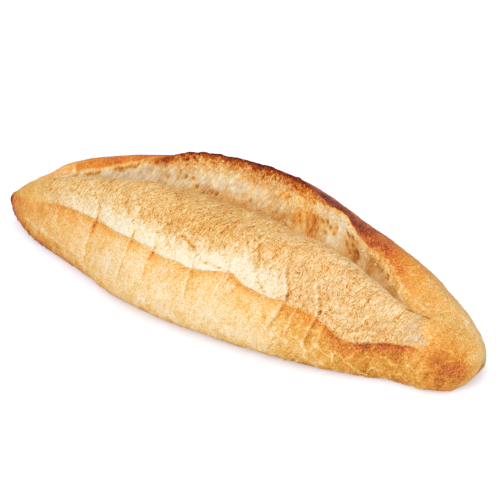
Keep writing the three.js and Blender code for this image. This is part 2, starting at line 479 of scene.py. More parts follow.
@dataclass
class LoafForm:
    """The loaf's smooth form: a closed section of arcs carried along X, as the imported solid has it.

    Heights are those at the middle of the loaf, before the ends bring them down.
    """

    length: float
    front_reach: float = 49.0
    back_reach: float = 60.0
    base_share: float = 0.8
    tip_line_y: float = -4.79
    pointed_tip_height: float = 12.0
    blunt_tip_height: float = 15.0
    pointed_width: Taper = Taper(0.78, 1.27, 10)
    blunt_width: Taper = Taper(0.655, 2.1, 12)
    pointed_height: Taper = Taper(0.74, 2.15, 9)
    blunt_height: Taper = Taper(0.79, 1.8, 10)
    keel_flat: float = 0.6
    pointed_keel_nose: float = 3.5
    blunt_keel_nose: float = 14.0
    edge_height: float = 40.0
    edge_share: float = 0.837
    edge_rise: float = 11.0
    edge_fall: float = 12.0
    edge_fade: float = 0.5
    edge_lean: float = 0.6
    bloom_step: float = 0.06
    bloom_step_rise: float = 0.4
    bloom_start: float = -132.0
    bloom_end: float = 138.0
    bloom_fade: float = 14.0
    seam_step: float = 0.4
    crest_height: float = 65.5
    crest_y: float = -18.0
    crown_height: float = 68.5
    crown_share: float = 0.42
    crown_behind_lip: float = 0.12
    crown_above_lip: float = 9.0
    crown_rounding: float = 3.0
    slash_start: float = -135.36
    slash_end: float = 123.36
    slash_fullest: float = 0.537
    gape_power: float = 0.6
    lip_power: float = 0.73
    lip_height: float = 74.5
    lip_y: float = 26.0
    lip_end_height: float = 56.4
    lip_start_y: float = -4.7
    lip_end_y: float = -15.5
    trough_forward: float = 15.0
    trough_depth: float = 28.0
    shut_trough: float = 0.6
    heal_length: float = 20.0
    healed_trough: float = 0.35
    healed_lip: float = 0.6
    bows: Bows = Bows()
    front_lumps: Lumps = (Lump(-46, 30, 4.5), Lump(108, 32, -3), Lump(120, 13, -2), Lump(147, 19, 5))
    edge_lumps: Lumps = (
        Lump(-122, 10, -1.7), Lump(-72, 18, 2), Lump(-8, 13, -1.8), Lump(22, 11, 3.2), Lump(98, 14, -8),
        Lump(134, 10, 6),
    )
    crest_lumps: Lumps = (Lump(-52, 14, 1.8), Lump(8, 16, -1.8), Lump(74, 20, 6), Lump(114, 14, -3))
    lip_lumps: Lumps = (
        Lump(-88, 20, -4.2), Lump(-34, 12, 1), Lump(-4, 10, -1.2), Lump(28, 9, 2), Lump(50, 6, -0.8),
        Lump(64, 11, 3.6),
    )
    lip_setbacks: Lumps = (Lump(62, 8, 0.8), Lump(95, 12, 6))
    wall_pockets: Lumps = (
        Lump(-40, 16, 2), Lump(10, 14, 4), Lump(31, 5, -5), Lump(50, 11, 4), Lump(74, 8, 3),
    )
    ring_count: int = 424
    end_crowding: float = 0.5
    rows_of_zones: tuple[int, ...] = (44, 3, 40, 22, 48, 20, 48, 6)
    lip_tear: Pattern = Pattern(12, (9.0, 1.0), 3, 0.8)
    lip_tear_opening: Fade = Fade(0, 0.35)
    lip_rougher: Fade = Fade(35, 60)
    lip_roughness: float = 1.6
    edge_tear: Pattern = Pattern(11, (9.0, 1.0), 3, 0.6)
    edge_course: Profile = (
        (-126, 0), (-118, 1.2), (-114, -1.6), (-109, 0.8), (-84, 0.5), (-75, -0.5), (-59, 0.8), (-43, 3),
        (-26.5, 2.2), (-24.5, 0.2), (-6, 2.2), (1, 0), (21, 0), (23.5, 2.6), (31, 0.2), (51, 0),
        (58, 2.2), (68, 0.9), (84, 0.7), (88, -2.2), (100, 0.4), (123, 0), (128, 2.5), (137, 4), (145, 0),
    )
    edge_course_fade: float = 10.0
    seam_easing: int = 40
    easing_rows: float = 9.0
    easing_share: float = 0.5
    shut_fade: Fade = Fade(0.0, 0.25)

    @property
    def half(self) -> float:
        """Half the loaf's length."""
        return self.length / 2

    def ring_places(self) -> Array:
        """Places of the rings along X, closer together near the tips."""
        even = -1 + 2 * np.arange(1, self.ring_count + 1) / (self.ring_count + 1)
        return self.half * lerp(even, np.sin(np.pi / 2 * even), self.end_crowding)

    def slash(self, x: Array) -> tuple[Array, Array, Array]:
        """How far along the slash a place is, how far it has healed past its ends, and its arch.

        Args:
            x: places along the loaf.

        Returns:
            Three shares from 0 to 1. The arch is a half sine with its top at the fullest place.
        """
        share = np.clip((x - self.slash_start) / (self.slash_end - self.slash_start), 0, 1)
        phase = np.interp(share, (0, self.slash_fullest, 1), (0, 0.5, 1))
        past = np.maximum(np.maximum(self.slash_start - x, x - self.slash_end), 0)
        return share, smooth(0, self.heal_length, past), np.maximum(np.sin(np.pi * phase), 0)

    def arcs(self, x: Array) -> dict[Zone, list[Array]]:
        """The section's arcs at each place: four Bezier points across and up for each zone.

        Every reach is scaled by what the ends leave of the width, every height by what they leave of the
        height above the tips, and the slash's arcs straighten where it is shut.

        Args:
            x: places along the loaf.

        Returns:
            For each zone its four control points, each an array of (across, up) for the places.
        """
        share = x / self.half
        out = np.abs(share)
        wide = np.where(share < 0, self.pointed_width.left(out), self.blunt_width.left(out))
        tall = np.where(share < 0, self.pointed_height.left(out), self.blunt_height.left(out))
        keel_nose = np.where(share < 0, self.pointed_keel_nose, self.blunt_keel_nose)
        keel = round_nose(np.maximum(out - self.keel_flat, 0) / (1 - self.keel_flat), keel_nose)
        tip = lerp(self.pointed_tip_height, self.blunt_tip_height, (share + 1) / 2)
        base_z = tip * (1 - keel)
        nose = round_nose(share, self.blunt_width.nose)
        front = self.front_reach * wide + lumps(x, self.front_lumps) * nose
        back = self.back_reach * wide
        bows = self.bows

        def spot(across: Array, up: Array) -> Array:
            """Joins places across and up into one array of points."""
            return np.stack(np.broadcast_arrays(across, up), -1)

        def height(z: Array) -> Array:
            """A height as the ends bring it down."""
            return tip + (z - tip) * tall

        wave = lumps(x, self.edge_lumps)
        torn_edge = along(self.edge_course, x) + self.edge_tear.line(x)
        torn_edge = torn_edge * span(x, self.bloom_start, self.bloom_end, self.edge_course_fade)
        rise = self.edge_rise * bell(share, -1, self.edge_fade)
        fall = self.edge_fall * bell(share, 1, self.edge_fade)
        edge = spot(
            -self.edge_share * front + self.edge_lean * wave * wide,
            height(self.edge_height + rise - fall + wave + torn_edge),
        )
        slashed, healed, arch = self.slash(x)
        gape = (arch**self.gape_power)[:, None]
        ear = arch**self.lip_power
        crest = spot(self.crest_y * wide, height(self.crest_height + lumps(x, self.crest_lumps)))
        torn_lip = self.lip_tear.line(x) * self.lip_tear_opening.at(arch)
        torn_lip = torn_lip * (1 + self.lip_roughness * self.lip_rougher.at(x))
        lip_y = lerp(lerp(self.lip_start_y, self.lip_end_y, slashed), self.lip_y, ear)
        lip_y = (lip_y + lumps(x, self.lip_setbacks)) * wide
        lip_z = height(lerp(self.lip_end_height, self.lip_height, ear) + lumps(x, self.lip_lumps))
        crown = spot(
            np.maximum(self.crown_share * back, lip_y + self.crown_behind_lip * back),
            np.minimum(height(self.crown_height), lip_z + self.crown_above_lip * tall),
        )

        def plain_top(place: float) -> Array:
            """The rounded top where there is no slash, at a share of the way from crest to crown."""
            return lerp(crest, crown, place) + spot(0.0, self.crown_rounding * tall)

        mended = healed[:, None]
        lip = lerp(spot(lip_y, lip_z + torn_lip), plain_top(self.healed_lip), mended)
        shut = lerp(lerp(crest, lip, self.shut_trough), plain_top(self.healed_trough), mended)
        trough = lerp(shut, lip + spot(-self.trough_forward * tall, -self.trough_depth * tall), gape)
        pocket = lumps(x, self.wall_pockets) * gape[:, 0]
        proud = span(x, self.bloom_start, self.bloom_end, self.bloom_fade)
        step = lerp(self.seam_step, self.bloom_step, proud)
        bloom = edge + spot(-step * wide, self.bloom_step_rise * step * tall)
        base_front = spot(-self.base_share * front, base_z)
        base_back = spot(self.base_share * back, base_z)

        def straight(start: Array, end: Array) -> list[Array]:
            """A straight line as a Bezier arc."""
            return [start, lerp(start, end, 1 / 3), lerp(start, end, 2 / 3), end]

        def slash_arc(start: Array, bow: Array, end: Array, end_bow: Array) -> list[Array]:
            """An arc that is straight where the slash is shut and bowed where it gapes."""
            third = (end - start) / 3
            return [start, start + lerp(third, bow, gape), end + lerp(-third, end_bow, gape), end]

        return {
            Zone.FRONT: [
                base_front,
                spot(-bows.front_foot * front, base_z + bows.front_foot_rise * keel),
                spot(-bows.front_waist * front, lerp(base_z, edge[:, 1], bows.front_waist_rise)),
                edge,
            ],
            Zone.LEDGE: straight(edge, bloom),
            Zone.BLOOM: [
                bloom,
                bloom + spot(bows.bloom_lean * front, bows.bloom_rise * tall),
                crest + spot(-bows.bloom_crest_run * wide, 0.0),
                crest,
            ],
            Zone.SLOPE: slash_arc(
                crest,
                spot(bows.slope_crest_run * wide, 0.0),
                trough,
                spot(-bows.slope_trough_run * wide, bows.slope_trough_rise * tall),
            ),
            Zone.WALL: slash_arc(
                trough,
                spot((pocket + bows.wall_foot_run) * wide, -bows.wall_foot_drop * tall),
                lip,
                spot((pocket - bows.wall_lip_run) * wide, -bows.wall_lip_drop * tall),
            ),
            Zone.EAR: [
                lip,
                lerp(lip, crown, bows.ear_lip_share),
                crown + spot(-bows.ear_crown_run * back, bows.ear_crown_rise * back),
                crown,
            ],
            Zone.BACK: [
                crown,
                crown + spot(bows.back_crown_run * back, -bows.back_crown_drop * back),
                spot(bows.back_foot * back, base_z + bows.back_foot_rise * keel),
                base_back,
            ],
            Zone.BASE: straight(base_back, base_front),
        }

    def skin(self) -> Skin:
        """Works out the smooth skin: each zone's Bezier arc at even steps, ring after ring along X.

        Returns:
            The skin with its distances along the surface, measured round each ring.
        """
        x = self.ring_places()
        strips = []
        zones = []
        for zone, arc in self.arcs(x).items():
            rows = self.rows_of_zones[zone]
            t = np.arange(rows) / rows
            weights = np.stack([(1 - t) ** 3, 3 * t * (1 - t) ** 2, 3 * t**2 * (1 - t), t**3], -1)
            strips.append(np.einsum("mk,knd->nmd", weights, np.stack(arc)))
            zones += [zone] * rows
        across_up = np.concatenate(strips, axis=1)
        rings = np.broadcast_to(x[:, None, None], across_up.shape[:2] + (1,))
        points = np.concatenate([rings, across_up], -1)
        points[..., 1] += self.tip_line_y
        zone_rows = np.array(zones)
        points = self.eased(points, zone_rows)
        closed = np.concatenate([points, points[:, :1]], 1)
        steps = np.linalg.norm(np.diff(closed, axis=1), axis=-1)
        reached = np.concatenate([np.zeros((len(x), 1)), np.cumsum(steps, 1)], 1)
        edge_row, lip_row, base_row = (np.argmax(zone_rows == z) for z in (Zone.LEDGE, Zone.EAR, Zone.BASE))
        around = reached[:, :-1]
        to_base = around[:, [base_row]] - around
        up = reached - reached[:, [edge_row]]
        sheet = np.stack([np.broadcast_to(x[:, None], up.shape), up], -1)
        return Skin(
            points=points,
            normals=self.outward(points),
            zones=zone_rows,
            up=up[:, :-1],
            lip=around - around[:, [lip_row]],
            rim=np.maximum(np.minimum(around, to_base), 0),
            sheet=sheet,
            gape=self.slash(x)[2] ** self.gape_power,
        )

    def eased(self, points: Array, zones: Array) -> Array:
        """Rounds off the lines of bloom and slash where they have died away, ring by ring.

        Points beside such a line are drawn towards the middle of their neighbours again and again.

        Args:
            points: the rings.
            zones: the zone of each row.

        Returns:
            The rings with those lines eased.
        """
        x = points[:, 0, 0]
        rows = np.arange(points.shape[1])
        proud = span(x, self.bloom_start, self.bloom_end, self.bloom_fade)
        shut = 1 - self.shut_fade.at(self.slash(x)[2])
        ledge_row = np.argmax(zones == Zone.LEDGE) + self.rows_of_zones[Zone.LEDGE] / 2
        lines = (ledge_row, np.argmax(zones == Zone.WALL), np.argmax(zones == Zone.EAR))
        ledge, wall, lip = (bell(rows, line, self.easing_rows)[None, :] for line in lines)
        ease = np.maximum((1 - proud)[:, None] * ledge, shut[:, None] * np.maximum(wall, lip))
        for _ in range(self.seam_easing):
            middle = (np.roll(points, 1, axis=1) + np.roll(points, -1, axis=1)) / 2
            points = lerp(points, middle, self.easing_share * ease[..., None])
        return points

    @staticmethod
    def outward(points: Array) -> Array:
        """Outward unit normals of a grid of closed rings, from the slopes along and round it.

        Args:
            points: the rings.

        Returns:
            One normal for each point.
        """
        along_x = np.gradient(points, axis=0)
        round_ring = np.roll(points, -1, axis=1) - np.roll(points, 1, axis=1)
        return unit(np.cross(along_x, round_ring))


@dataclass
class Piece:
    """A mesh in the making, as whole arrays in millimetres.

    Sizes counts each face's corners, sheet has the unrolled skin's place at each corner, finishes the slot
    of each face, and layers one value for each vertex, under the names that the finishes read.
    """

    name: str
    points: Array
    corners: Array
    sizes: Array
    sheet: Array
    finishes: Array
    layers: dict[str, Array]

    def make(self) -> bpy.types.Object:
        """Puts the arrays into a mesh and its object into the scene.

        Returns:
            The object, at the origin.
        """
        mesh = bpy.data.meshes.new(self.name)
        mesh.vertices.add(len(self.points))
        mesh.vertices.foreach_set("co", (self.points * MM).astype(np.float32).ravel())
        mesh.loops.add(len(self.corners))
        mesh.loops.foreach_set("vertex_index", self.corners.astype(np.int32))
        mesh.polygons.add(len(self.sizes))
        starts = np.concatenate([[0], np.cumsum(self.sizes)[:-1]])
        mesh.polygons.foreach_set("loop_start", starts.astype(np.int32))
        mesh.polygons.foreach_set("use_smooth", np.ones(len(self.sizes), bool))
        mesh.polygons.foreach_set("material_index", self.finishes.astype(np.int32))
        sheet = (self.sheet / SHEET_UNIT).astype(np.float32)
        mesh.uv_layers.new(name="sheet").data.foreach_set("uv", sheet.ravel())
        for name, values in self.layers.items():
            layer = mesh.attributes.new(name, "FLOAT", "POINT")
            layer.data.foreach_set("value", values.astype(np.float32).ravel())
        mesh.update(calc_edges=True)
        mesh.validate()
        made = bpy.data.objects.new(self.name, mesh)
        bpy.context.scene.collection.objects.link(made)
        return made


@dataclass(frozen=True)
class Handwork:
    """The places that the oven and the blade left on this loaf, in (x, height above the bloom's edge)."""

    cracks: tuple[Crack, ...] = (
        Crack(((-79, 12.5), (-74.3, 9), (-73.4, 2), (-74.3, -7)), depth=0.7, step=0.5, dark=0.3, pale=0.06),
        Crack(((-73.4, 0), (-74.3, -7), (-78, -24)), depth=0.4, step=0.4, dark=0.14, plate=0.05, fade=8),
        Crack(((-44.5, 9.4), (-41.7, 5.4), (-41.5, 1)), depth=0.4, width=0.55, step=0.2, dark=0.26, pale=0),
        Crack(
            ((-41.5, 3), (-42.6, -10), (-46, -24)),
            depth=0.5, width=0.55, step=0.3, dark=0.26, pale=0.14, plate=0.05, fade=7,
        ),
        Crack(
            ((-25.5, 2), (-27.5, -16)),
            depth=0.5, width=0.55, step=0.4, dark=0.26, pale=0.12, plate=0.08, fade=7,
        ),
        Crack(
            ((1.5, 1), (1.6, -14)),
            depth=0.5, width=0.55, step=0.4, dark=0.28, pale=0.14, plate=0.08, fade=7,
        ),
        Crack(((23, 2), (20, -11)), depth=0.4, width=0.5, step=-0.3, dark=0.14, pale=0.18, fade=6),
        Crack(((27, 2), (22, -13)), depth=0.4, width=0.5, step=0.3, dark=0.2, pale=0.16, plate=0.1, fade=6),
        Crack(((31, -3), (24.5, -14)), depth=0.4, width=0.5, step=0.2, dark=0.14, pale=0.14, fade=5),
        Crack(((66.5, -1), (64.5, -17)), depth=0.4, width=0.55, step=0.3, dark=0.1, pale=0.24, fade=4),
        Crack(((77.7, 1), (75.2, -16)), depth=0.3, step=0.3, dark=0.14, pale=0.2, plate=0.06, fade=5),
        Crack(((82.8, 1), (82.5, -10)), depth=0.3, step=-0.2, dark=0.1, pale=0.18, fade=5),
    )
    flake: Crack = Crack(
        ((59.2, 3), (58.3, -8.3), (55, -14)), depth=0.5, step=0.9, dark=0.2, pale=0.1, plate=0.06, fade=6
    )
    scar: Crack = Crack(
        ((-9, 14.5), (-1.5, 12), (5.3, 4.6), (12, 3.5), (19, 1.3)),
        Run.LENGTHWISE, step=1.0, dark=0.3, pale=0.12,
    )
    folds: tuple[Crack, ...] = (
        Crack(
            ((38, 9), (40.7, 6.4), (46.3, 1.2)),
            Run.LENGTHWISE, depth=0.5, step=0.4, dark=0.26, pale=0.16,
        ),
        Crack(((56, 16), (58.5, 9), (59.5, 3)), depth=0.6, step=1.0, dark=0.3, pale=0.24, fade=3),
        Crack(((74.5, 15), (77, 10), (78, 4)), depth=0.4, width=0.8, step=0.8, dark=0.22, pale=0.16),
        Crack(
            ((36, 24), (37.5, 20), (38.5, 17)),
            depth=0.7, width=0.6, step=0.5, dark=0.34, pale=0.14, fade=2,
        ),
        Crack(((12, 22), (14, 26), (16, 31)), depth=0.5, width=0.55, step=0.3, dark=0.26, pale=0.1, fade=2),
        Crack(((24, 26), (26, 30), (27, 33)), depth=0.5, width=0.55, step=0.3, dark=0.24, pale=0.1, fade=2),
        Crack(((46.5, 15), (49.5, 12)), depth=0.6, width=0.6, step=0.5, dark=0.3, pale=0.12, fade=2),
        Crack(
            ((-26, 10), (-23, 16), (-20, 19)),
            depth=0.5, width=0.55, step=0.4, dark=0.2, pale=0.1, fade=3,
        ),
        Crack(
            ((-136, -12), (-115.6, -17.8), (-100, -22.6), (-85.5, -24.1)),
            Run.LENGTHWISE, dark=0, pale=0.14,
        ),
        Crack(((96, 5), (104, 8), (110, 6)), Run.LENGTHWISE, depth=0.4, step=0.3, dark=0.1),
        Crack(
            ((120, 21.5), (125, 20.5), (130.5, 19.6)),
            Run.LENGTHWISE, depth=1.0, dark=0.6, pale=0, fade=2, wobble=0.3,
        ),
    )
    holes: tuple[Hole, ...] = (
        Hole(-53.7, 12.9, 1.6, 1.6), Hole(-43.0, 15.2, 1.5, 1.6), Hole(-38.6, 15.8, 1.3, 1.5),
        Hole(-35.0, 20.9, 1.6, 1.8), Hole(-25.5, 22.8, 1.6, 1.8), Hole(-22.6, 23.4, 1.4, 1.8),
        Hole(-1.5, 23.0, 1.2, 1.4), Hole(47.3, 11.8, 1.2, 1.4), Hole(50.6, 10.4, 1.3, 1.6),
        Hole(53.2, 12.6, 1.1, 1.4), Hole(59.0, 10.8, 1.0, 1.2), Hole(51.0, 16.4, 1.1, 1.2),
        Hole(56.5, 14.6, 1.0, 1.2), Hole(67.3, 7.6, 1.4, 1.5), Hole(70.6, 6.3, 1.2, 1.4),
        Hole(71.2, 9.4, 1.1, 1.3), Hole(67.6, 12.6, 1.3, 1.4), Hole(71.0, 13.6, 1.1, 1.3),
        Hole(75.4, 10.4, 2.4, 2.4), Hole(98.0, 5.4, 1.4, 1.2),
    )
    spots: tuple[Spot, ...] = (
        Spot((148, -21, 15), 13.5, 0.36),
        Spot((-156, -10, 16.5), 3.6, 0.24, swell=2.0),
        Spot((51, -49.8, 27), 1.3, 0.3),
        Spot((118, -34, 20), 13, 0.13),
    )

    @property
    def lines(self) -> tuple[Crack, ...]:
        """Every drawn line."""
        return (*self.cracks, self.flake, self.scar, *self.folds)


class Dressed:
    """A sub-assembly that is built as one object and then takes the loaf's finishes."""

    def dress(self, made: bpy.types.Object, finishes: Sequence[bpy.types.Material]) -> None:
        """Gives the object its finishes, in the order of the slots."""
        for finish in finishes:
            made.data.materials.append(finish)


@dataclass
class Marks:
    """Shares over the skin that relief, browning and colour have in common, each worked out once.

    Torn dough, pale veins, the ear's frill, pits and ridges of the toasted net, and the toast along X go
    from 0 to 1, and the drape of the wall's folds from about -1 to 1.
    """

    torn: Array
    veins: Array
    frill: Array
    pit: Array
    ridge: Array
    drape: Array
    toast: Array


@dataclass(frozen=True)
class TornArea:
    """Where the dough tore open, with ragged ends to the bloom."""

    start: float = -119.0
    start_lean: float = 0.7
    lean_reach: float = 16.0
    start_fade: Fade = Fade(-9.0, 9.0)
    start_rag: float = 1.6
    end: float = 130.0
    end_fade: Fade = Fade(-1.5, 1.5)
    tip: Lump = Lump(6.0, 4.0, 6.0)
    rag: Pattern = Pattern(21, 5.0, 3, 3.0)
    wall_opening: Fade = Fade(0.05, 0.3)

    def at(self, skin: Skin) -> Array:
        """Finds the torn places.

        Args:
            skin: the smooth skin.

        Returns:
            1 where the dough tore open, 0 where the crust is whole.
        """
        rag = self.rag.at(skin.flat)
        start = self.start - self.start_lean * np.clip(skin.up, 0, self.lean_reach)
        end = self.end + self.tip.at(skin.up)
        opened = self.start_fade.at(skin.x + self.start_rag * rag - start)
        opened = opened * (1 - self.end_fade.at(skin.x + rag - end))
        wall = self.wall_opening.at(skin.gape)[:, None] * skin.is_in(Zone.WALL)
        return np.maximum(opened * skin.is_in(*BLOOM_ZONES), wall)


@dataclass(frozen=True)
class Veins:
    """Pale wrinkle lines in the crust near the blunt end, along the borders of warped cells."""

    net: Net = Net(36, (9.0, 8.0), (Pattern(34, 8.0, 2, 2.5), Pattern(35, 8.0, 2, 2.5)))
    width: Fade = Fade(0.01, 0.12)
    breaks: Pattern = Pattern(37, 6.0, 2)
    break_edge: Fade = Fade(-0.8, -0.2)
    back_start: Fade = Fade(86, 110)
    end_start: Fade = Fade(126, 136)
    end_share: float = 0.5
    front_start: Fade = Fade(52, 70)
    front_end: Fade = Fade(126, 140)
    front_end_loss: float = 0.75
    edge_gap: float = 6.0

    def at(self, skin: Skin) -> Array:
        """Draws the lines.

        Args:
            skin: the smooth skin.

        Returns:
            1 along the lines, 0 between them and where the crust has none.
        """
        nearest, second, _ = self.net.at(skin.flat)
        line = (1 - self.width.at(second - nearest)) * self.break_edge.at(self.breaks.at(skin.flat))
        behind = self.back_start.at(skin.x) * skin.is_in(Zone.EAR, Zone.BACK)
        closed = self.end_start.at(skin.x) * skin.is_in(*BLOOM_ZONES, Zone.WALL)
        front = self.front_start.at(skin.x) * (1 - self.front_end_loss * self.front_end.at(skin.x))
        front = front * skin.is_in(Zone.FRONT) * (1 - np.exp(np.minimum(skin.up, 0) / self.edge_gap))
        return line * (front + behind + self.end_share * closed)


@dataclass(frozen=True)
class Frill:
    """The torn golden border that the ear has along the narrow end of the slash."""

    levels: Profile = ((80, 0), (93, 0.75), (112, 0.9), (122, 0))
    width: float = 2.2
    rag: Pattern = Pattern(74, (4.0, 1.0), 3, 1.8)
    edge: Fade = Fade(-0.6, 0.6)

    def at(self, skin: Skin) -> Array:
        """The share of border at each place, with a ragged line."""
        there = 1 - self.edge.at(skin.lip - self.width - self.rag.line(skin.x))
        return along(self.levels, skin.x) * there * (skin.lip >= 0) * skin.is_in(Zone.EAR)


@dataclass(frozen=True)
class Lace:
    """The open net of toasted crumb: pits in the cells' middles and ridges along their borders."""

    net: Net = Net(65, (2.2, 2.8), (Pattern(63, 3.0, 1, 0.8), Pattern(64, 3.0, 1, 0.8)))
    pit_edge: Fade = Fade(0.15, 0.5)
    ridge_edge: Fade = Fade(0.05, 0.3)

    def at(self, skin: Skin) -> tuple[Array, Array]:
        """The share of pit and of ridge at each place."""
        nearest, second, chance = self.net.at(skin.flat)
        return (1 - self.pit_edge.at(nearest)) * chance, 1 - self.ridge_edge.at(second - nearest)


@dataclass(frozen=True)
class CrustRelief:
    """Slow swells, small blisters, wrinkles near the blunt end, a rough rim and a rough ear."""

    swells: tuple[Pattern, ...] = (Pattern(31, 30.0, 2, 0.5), Pattern(32, 9.0, 1, 0.2))
    blisters: Net = Net(33, 2.4)
    blister_height: float = 0.2
    blister_share: float = 0.5
    blister_edge: Fade = Fade(0.12, 0.42)
    blister_start: Fade = Fade(-20, 70)
    rim: Pattern = Pattern(38, 4.0, 2, 0.8)
    rim_reach: float = 7.0
    ear: Pattern = Pattern(39, 2.6, 2, 0.35)
    ear_reach: float = 9.0
    frill: Pattern = Pattern(75, 2.0, 2, 0.9)
    vein_height: float = 0.3

    def at(self, skin: Skin, marks: Marks) -> Array:
        """Adds up the whole crust's unevenness.

        Args:
            skin: the smooth skin.
            marks: the shares over it.

        Returns:
            Millimetres over the smooth form.
        """
        swell = sum(pattern.at(skin.points) for pattern in self.swells)
        gap, _, chance = self.blisters.at(skin.flat)
        blister = self.blister_height * (chance > self.blister_share) * (1 - self.blister_edge.at(gap))
        blister = blister * self.blister_start.at(skin.x)
        rim = self.rim.at(skin.points) * bell(skin.rim, 0, self.rim_reach)
        ear = self.ear.at(skin.points) * bell(skin.lip, 0, self.ear_reach) * skin.is_in(Zone.EAR)
        frill = self.frill.at(skin.flat) * marks.frill
        return swell + blister + self.vein_height * marks.veins + rim + ear + frill


@dataclass(frozen=True)
class BloomRelief:
    """Lumps, and short strands that run across the loaf, lower where the slash is shut."""

    warp: Pattern = Pattern(41, 5.0, 1, 1.4)
    strands: Pattern = Pattern(42, (1.9, 4.0), 1, 0.28)
    lumps: Pattern = Pattern(43, 8.0, 3, 0.7)
    shut_share: float = 0.4

    def at(self, skin: Skin) -> Array:
        """Adds up the bloom's unevenness.

        Args:
            skin: the smooth skin.

        Returns:
            Millimetres over the smooth form.
        """
        strand = self.strands.at(skin.x + self.warp.at(skin.flat), skin.up)
        opened = lerp(self.shut_share, 1.0, skin.gape[:, None])
        share = np.where(skin.zones[None, :] == Zone.SLOPE, opened, 1.0)
        return share * (strand + self.lumps.at(skin.flat))


@dataclass(frozen=True)
class WallRelief:
    """Strands from trough to lip, hanging folds, opened bubbles, and grains along the toasted lip."""

    slant: float = 0.1
    folds: Pattern = Pattern(46, (6.0, 11.0), 3)
    fold_height: float = 1.4
    strands: Pattern = Pattern(44, (1.9, 6.0), 2, 0.3)
    bubbles: Net = Net(45, (3.4, 4.6))
    bubble_share: float = 0.45
    bubble_edge: Fade = Fade(0.1, 0.5)
    bubble_depth: float = 0.7
    grain: Lump = Lump(-4.0, 6.0, 0.5)
    pit_share: float = 1.6

    def drape(self, skin: Skin) -> Array:
        """The hanging folds, about -1 in the hollows to 1 on the ridges."""
        return self.folds.at(skin.x - self.slant * skin.lip, skin.lip)

    def at(self, skin: Skin, marks: Marks, holes: Sequence[Hole]) -> Array:
        """Adds up the wall's unevenness, which dies away where the slash is shut.

        Args:
            skin: the smooth skin.
            marks: the shares over it.
            holes: the bubbles at places of their own.

        Returns:
            Millimetres over the smooth form.
        """
        slant = skin.x - self.slant * skin.lip
        gap, _, chance = self.bubbles.at(np.stack([slant, skin.lip], -1))
        bubble = (chance > self.bubble_share) * (1 - self.bubble_edge.at(gap))
        grain = (marks.ridge - self.pit_share * marks.pit) * self.grain.at(skin.lip) * marks.toast
        total = self.strands.at(slant, skin.lip) - self.bubble_depth * bubble
        total += self.fold_height * marks.drape + grain
        total = total - sum(hole.depth * hole.at(skin.x, skin.lip) for hole in holes)
        return total * skin.gape[:, None] ** 2


@dataclass(frozen=True)
class FrontBake:
    """Browning of the front crust: it changes at the flake and is darker under the bloom's edge."""

    levels: Profile = (
        (-160, 0.66), (-152, 0.53), (-140, 0.46), (-115, 0.39), (-88, 0.33), (-60, 0.25), (-30, 0.2),
        (10, 0.2), (40, 0.23), (60, 0.26), (80, 0.32),
    )
    amber_levels: Profile = (
        (40, 0.38), (60, 0.4), (90, 0.46), (120, 0.46), (140, 0.42), (152, 0.36), (160, 0.28),
    )
    under_edge_levels: Profile = (
        (-150, 0), (-110, 0.12), (-60, 0.19), (-20, 0.19), (20, 0.23), (57, 0.2), (70, 0.2), (90, 0.26),
        (110, 0.28), (128, 0.22), (136, 0.04), (150, 0),
    )
    flake_softness: float = 0.7
    flake_spread: float = 9.0
    flake_fading: Fade = Fade(8, 20)
    flake_rag: Pattern = Pattern(59, 6.0, 2, 2.5)
    flake_ragged: Fade = Fade(6, 16)
    patches: Pattern = Pattern(54, 9.0, 2, 0.25)
    edge_falls: Pair = (7.0, 10.0)
    amber_start: Fade = Fade(50, 70)
    edge_line: float = 0.2
    edge_line_fall: float = 1.2
    edge_line_span: Triple = (-120.0, 58.0, 12.0)
    streaks: Pattern = Pattern(60, (2.4, 14.0), 3, 0.08)
    streak_lean: float = 0.45
    vein_paleness: float = 0.3

    def end(self, x: Array) -> Array:
        """The level at the ends of the loaf, pointed or blunt."""
        return np.where(x > 0, along(self.amber_levels, x), along(self.levels, x))

    def at(self, skin: Skin, marks: Marks, flake: Crack) -> Array:
        """Works out how far the front crust baked.

        Args:
            skin: the smooth skin.
            marks: the shares over it.
            flake: the split where the pale crust gives way to the amber one.

        Returns:
            One level for each place.
        """
        x, up = skin.x, np.minimum(skin.up, 0)
        flake_gap, _ = flake.course(x, skin.up)
        softness = self.flake_softness + self.flake_spread * self.flake_fading.at(-up)
        rag = self.flake_rag.at(skin.flat) * self.flake_ragged.at(-up)
        past = 0.5 + 0.5 * np.tanh((flake_gap + rag) / softness)
        level = lerp(along(self.levels, x), along(self.amber_levels, x), past)
        fall = lerp(*self.edge_falls, self.amber_start.at(x))
        patch = 1 + self.patches.at(skin.flat)
        level += along(self.under_edge_levels, x) * np.exp(up / fall) * patch
        line = self.edge_line * np.exp(up / self.edge_line_fall)
        level += line * span(x, *self.edge_line_span)
        level += self.streaks.at(x - self.streak_lean * skin.up, skin.up)
        return level - self.vein_paleness * marks.veins


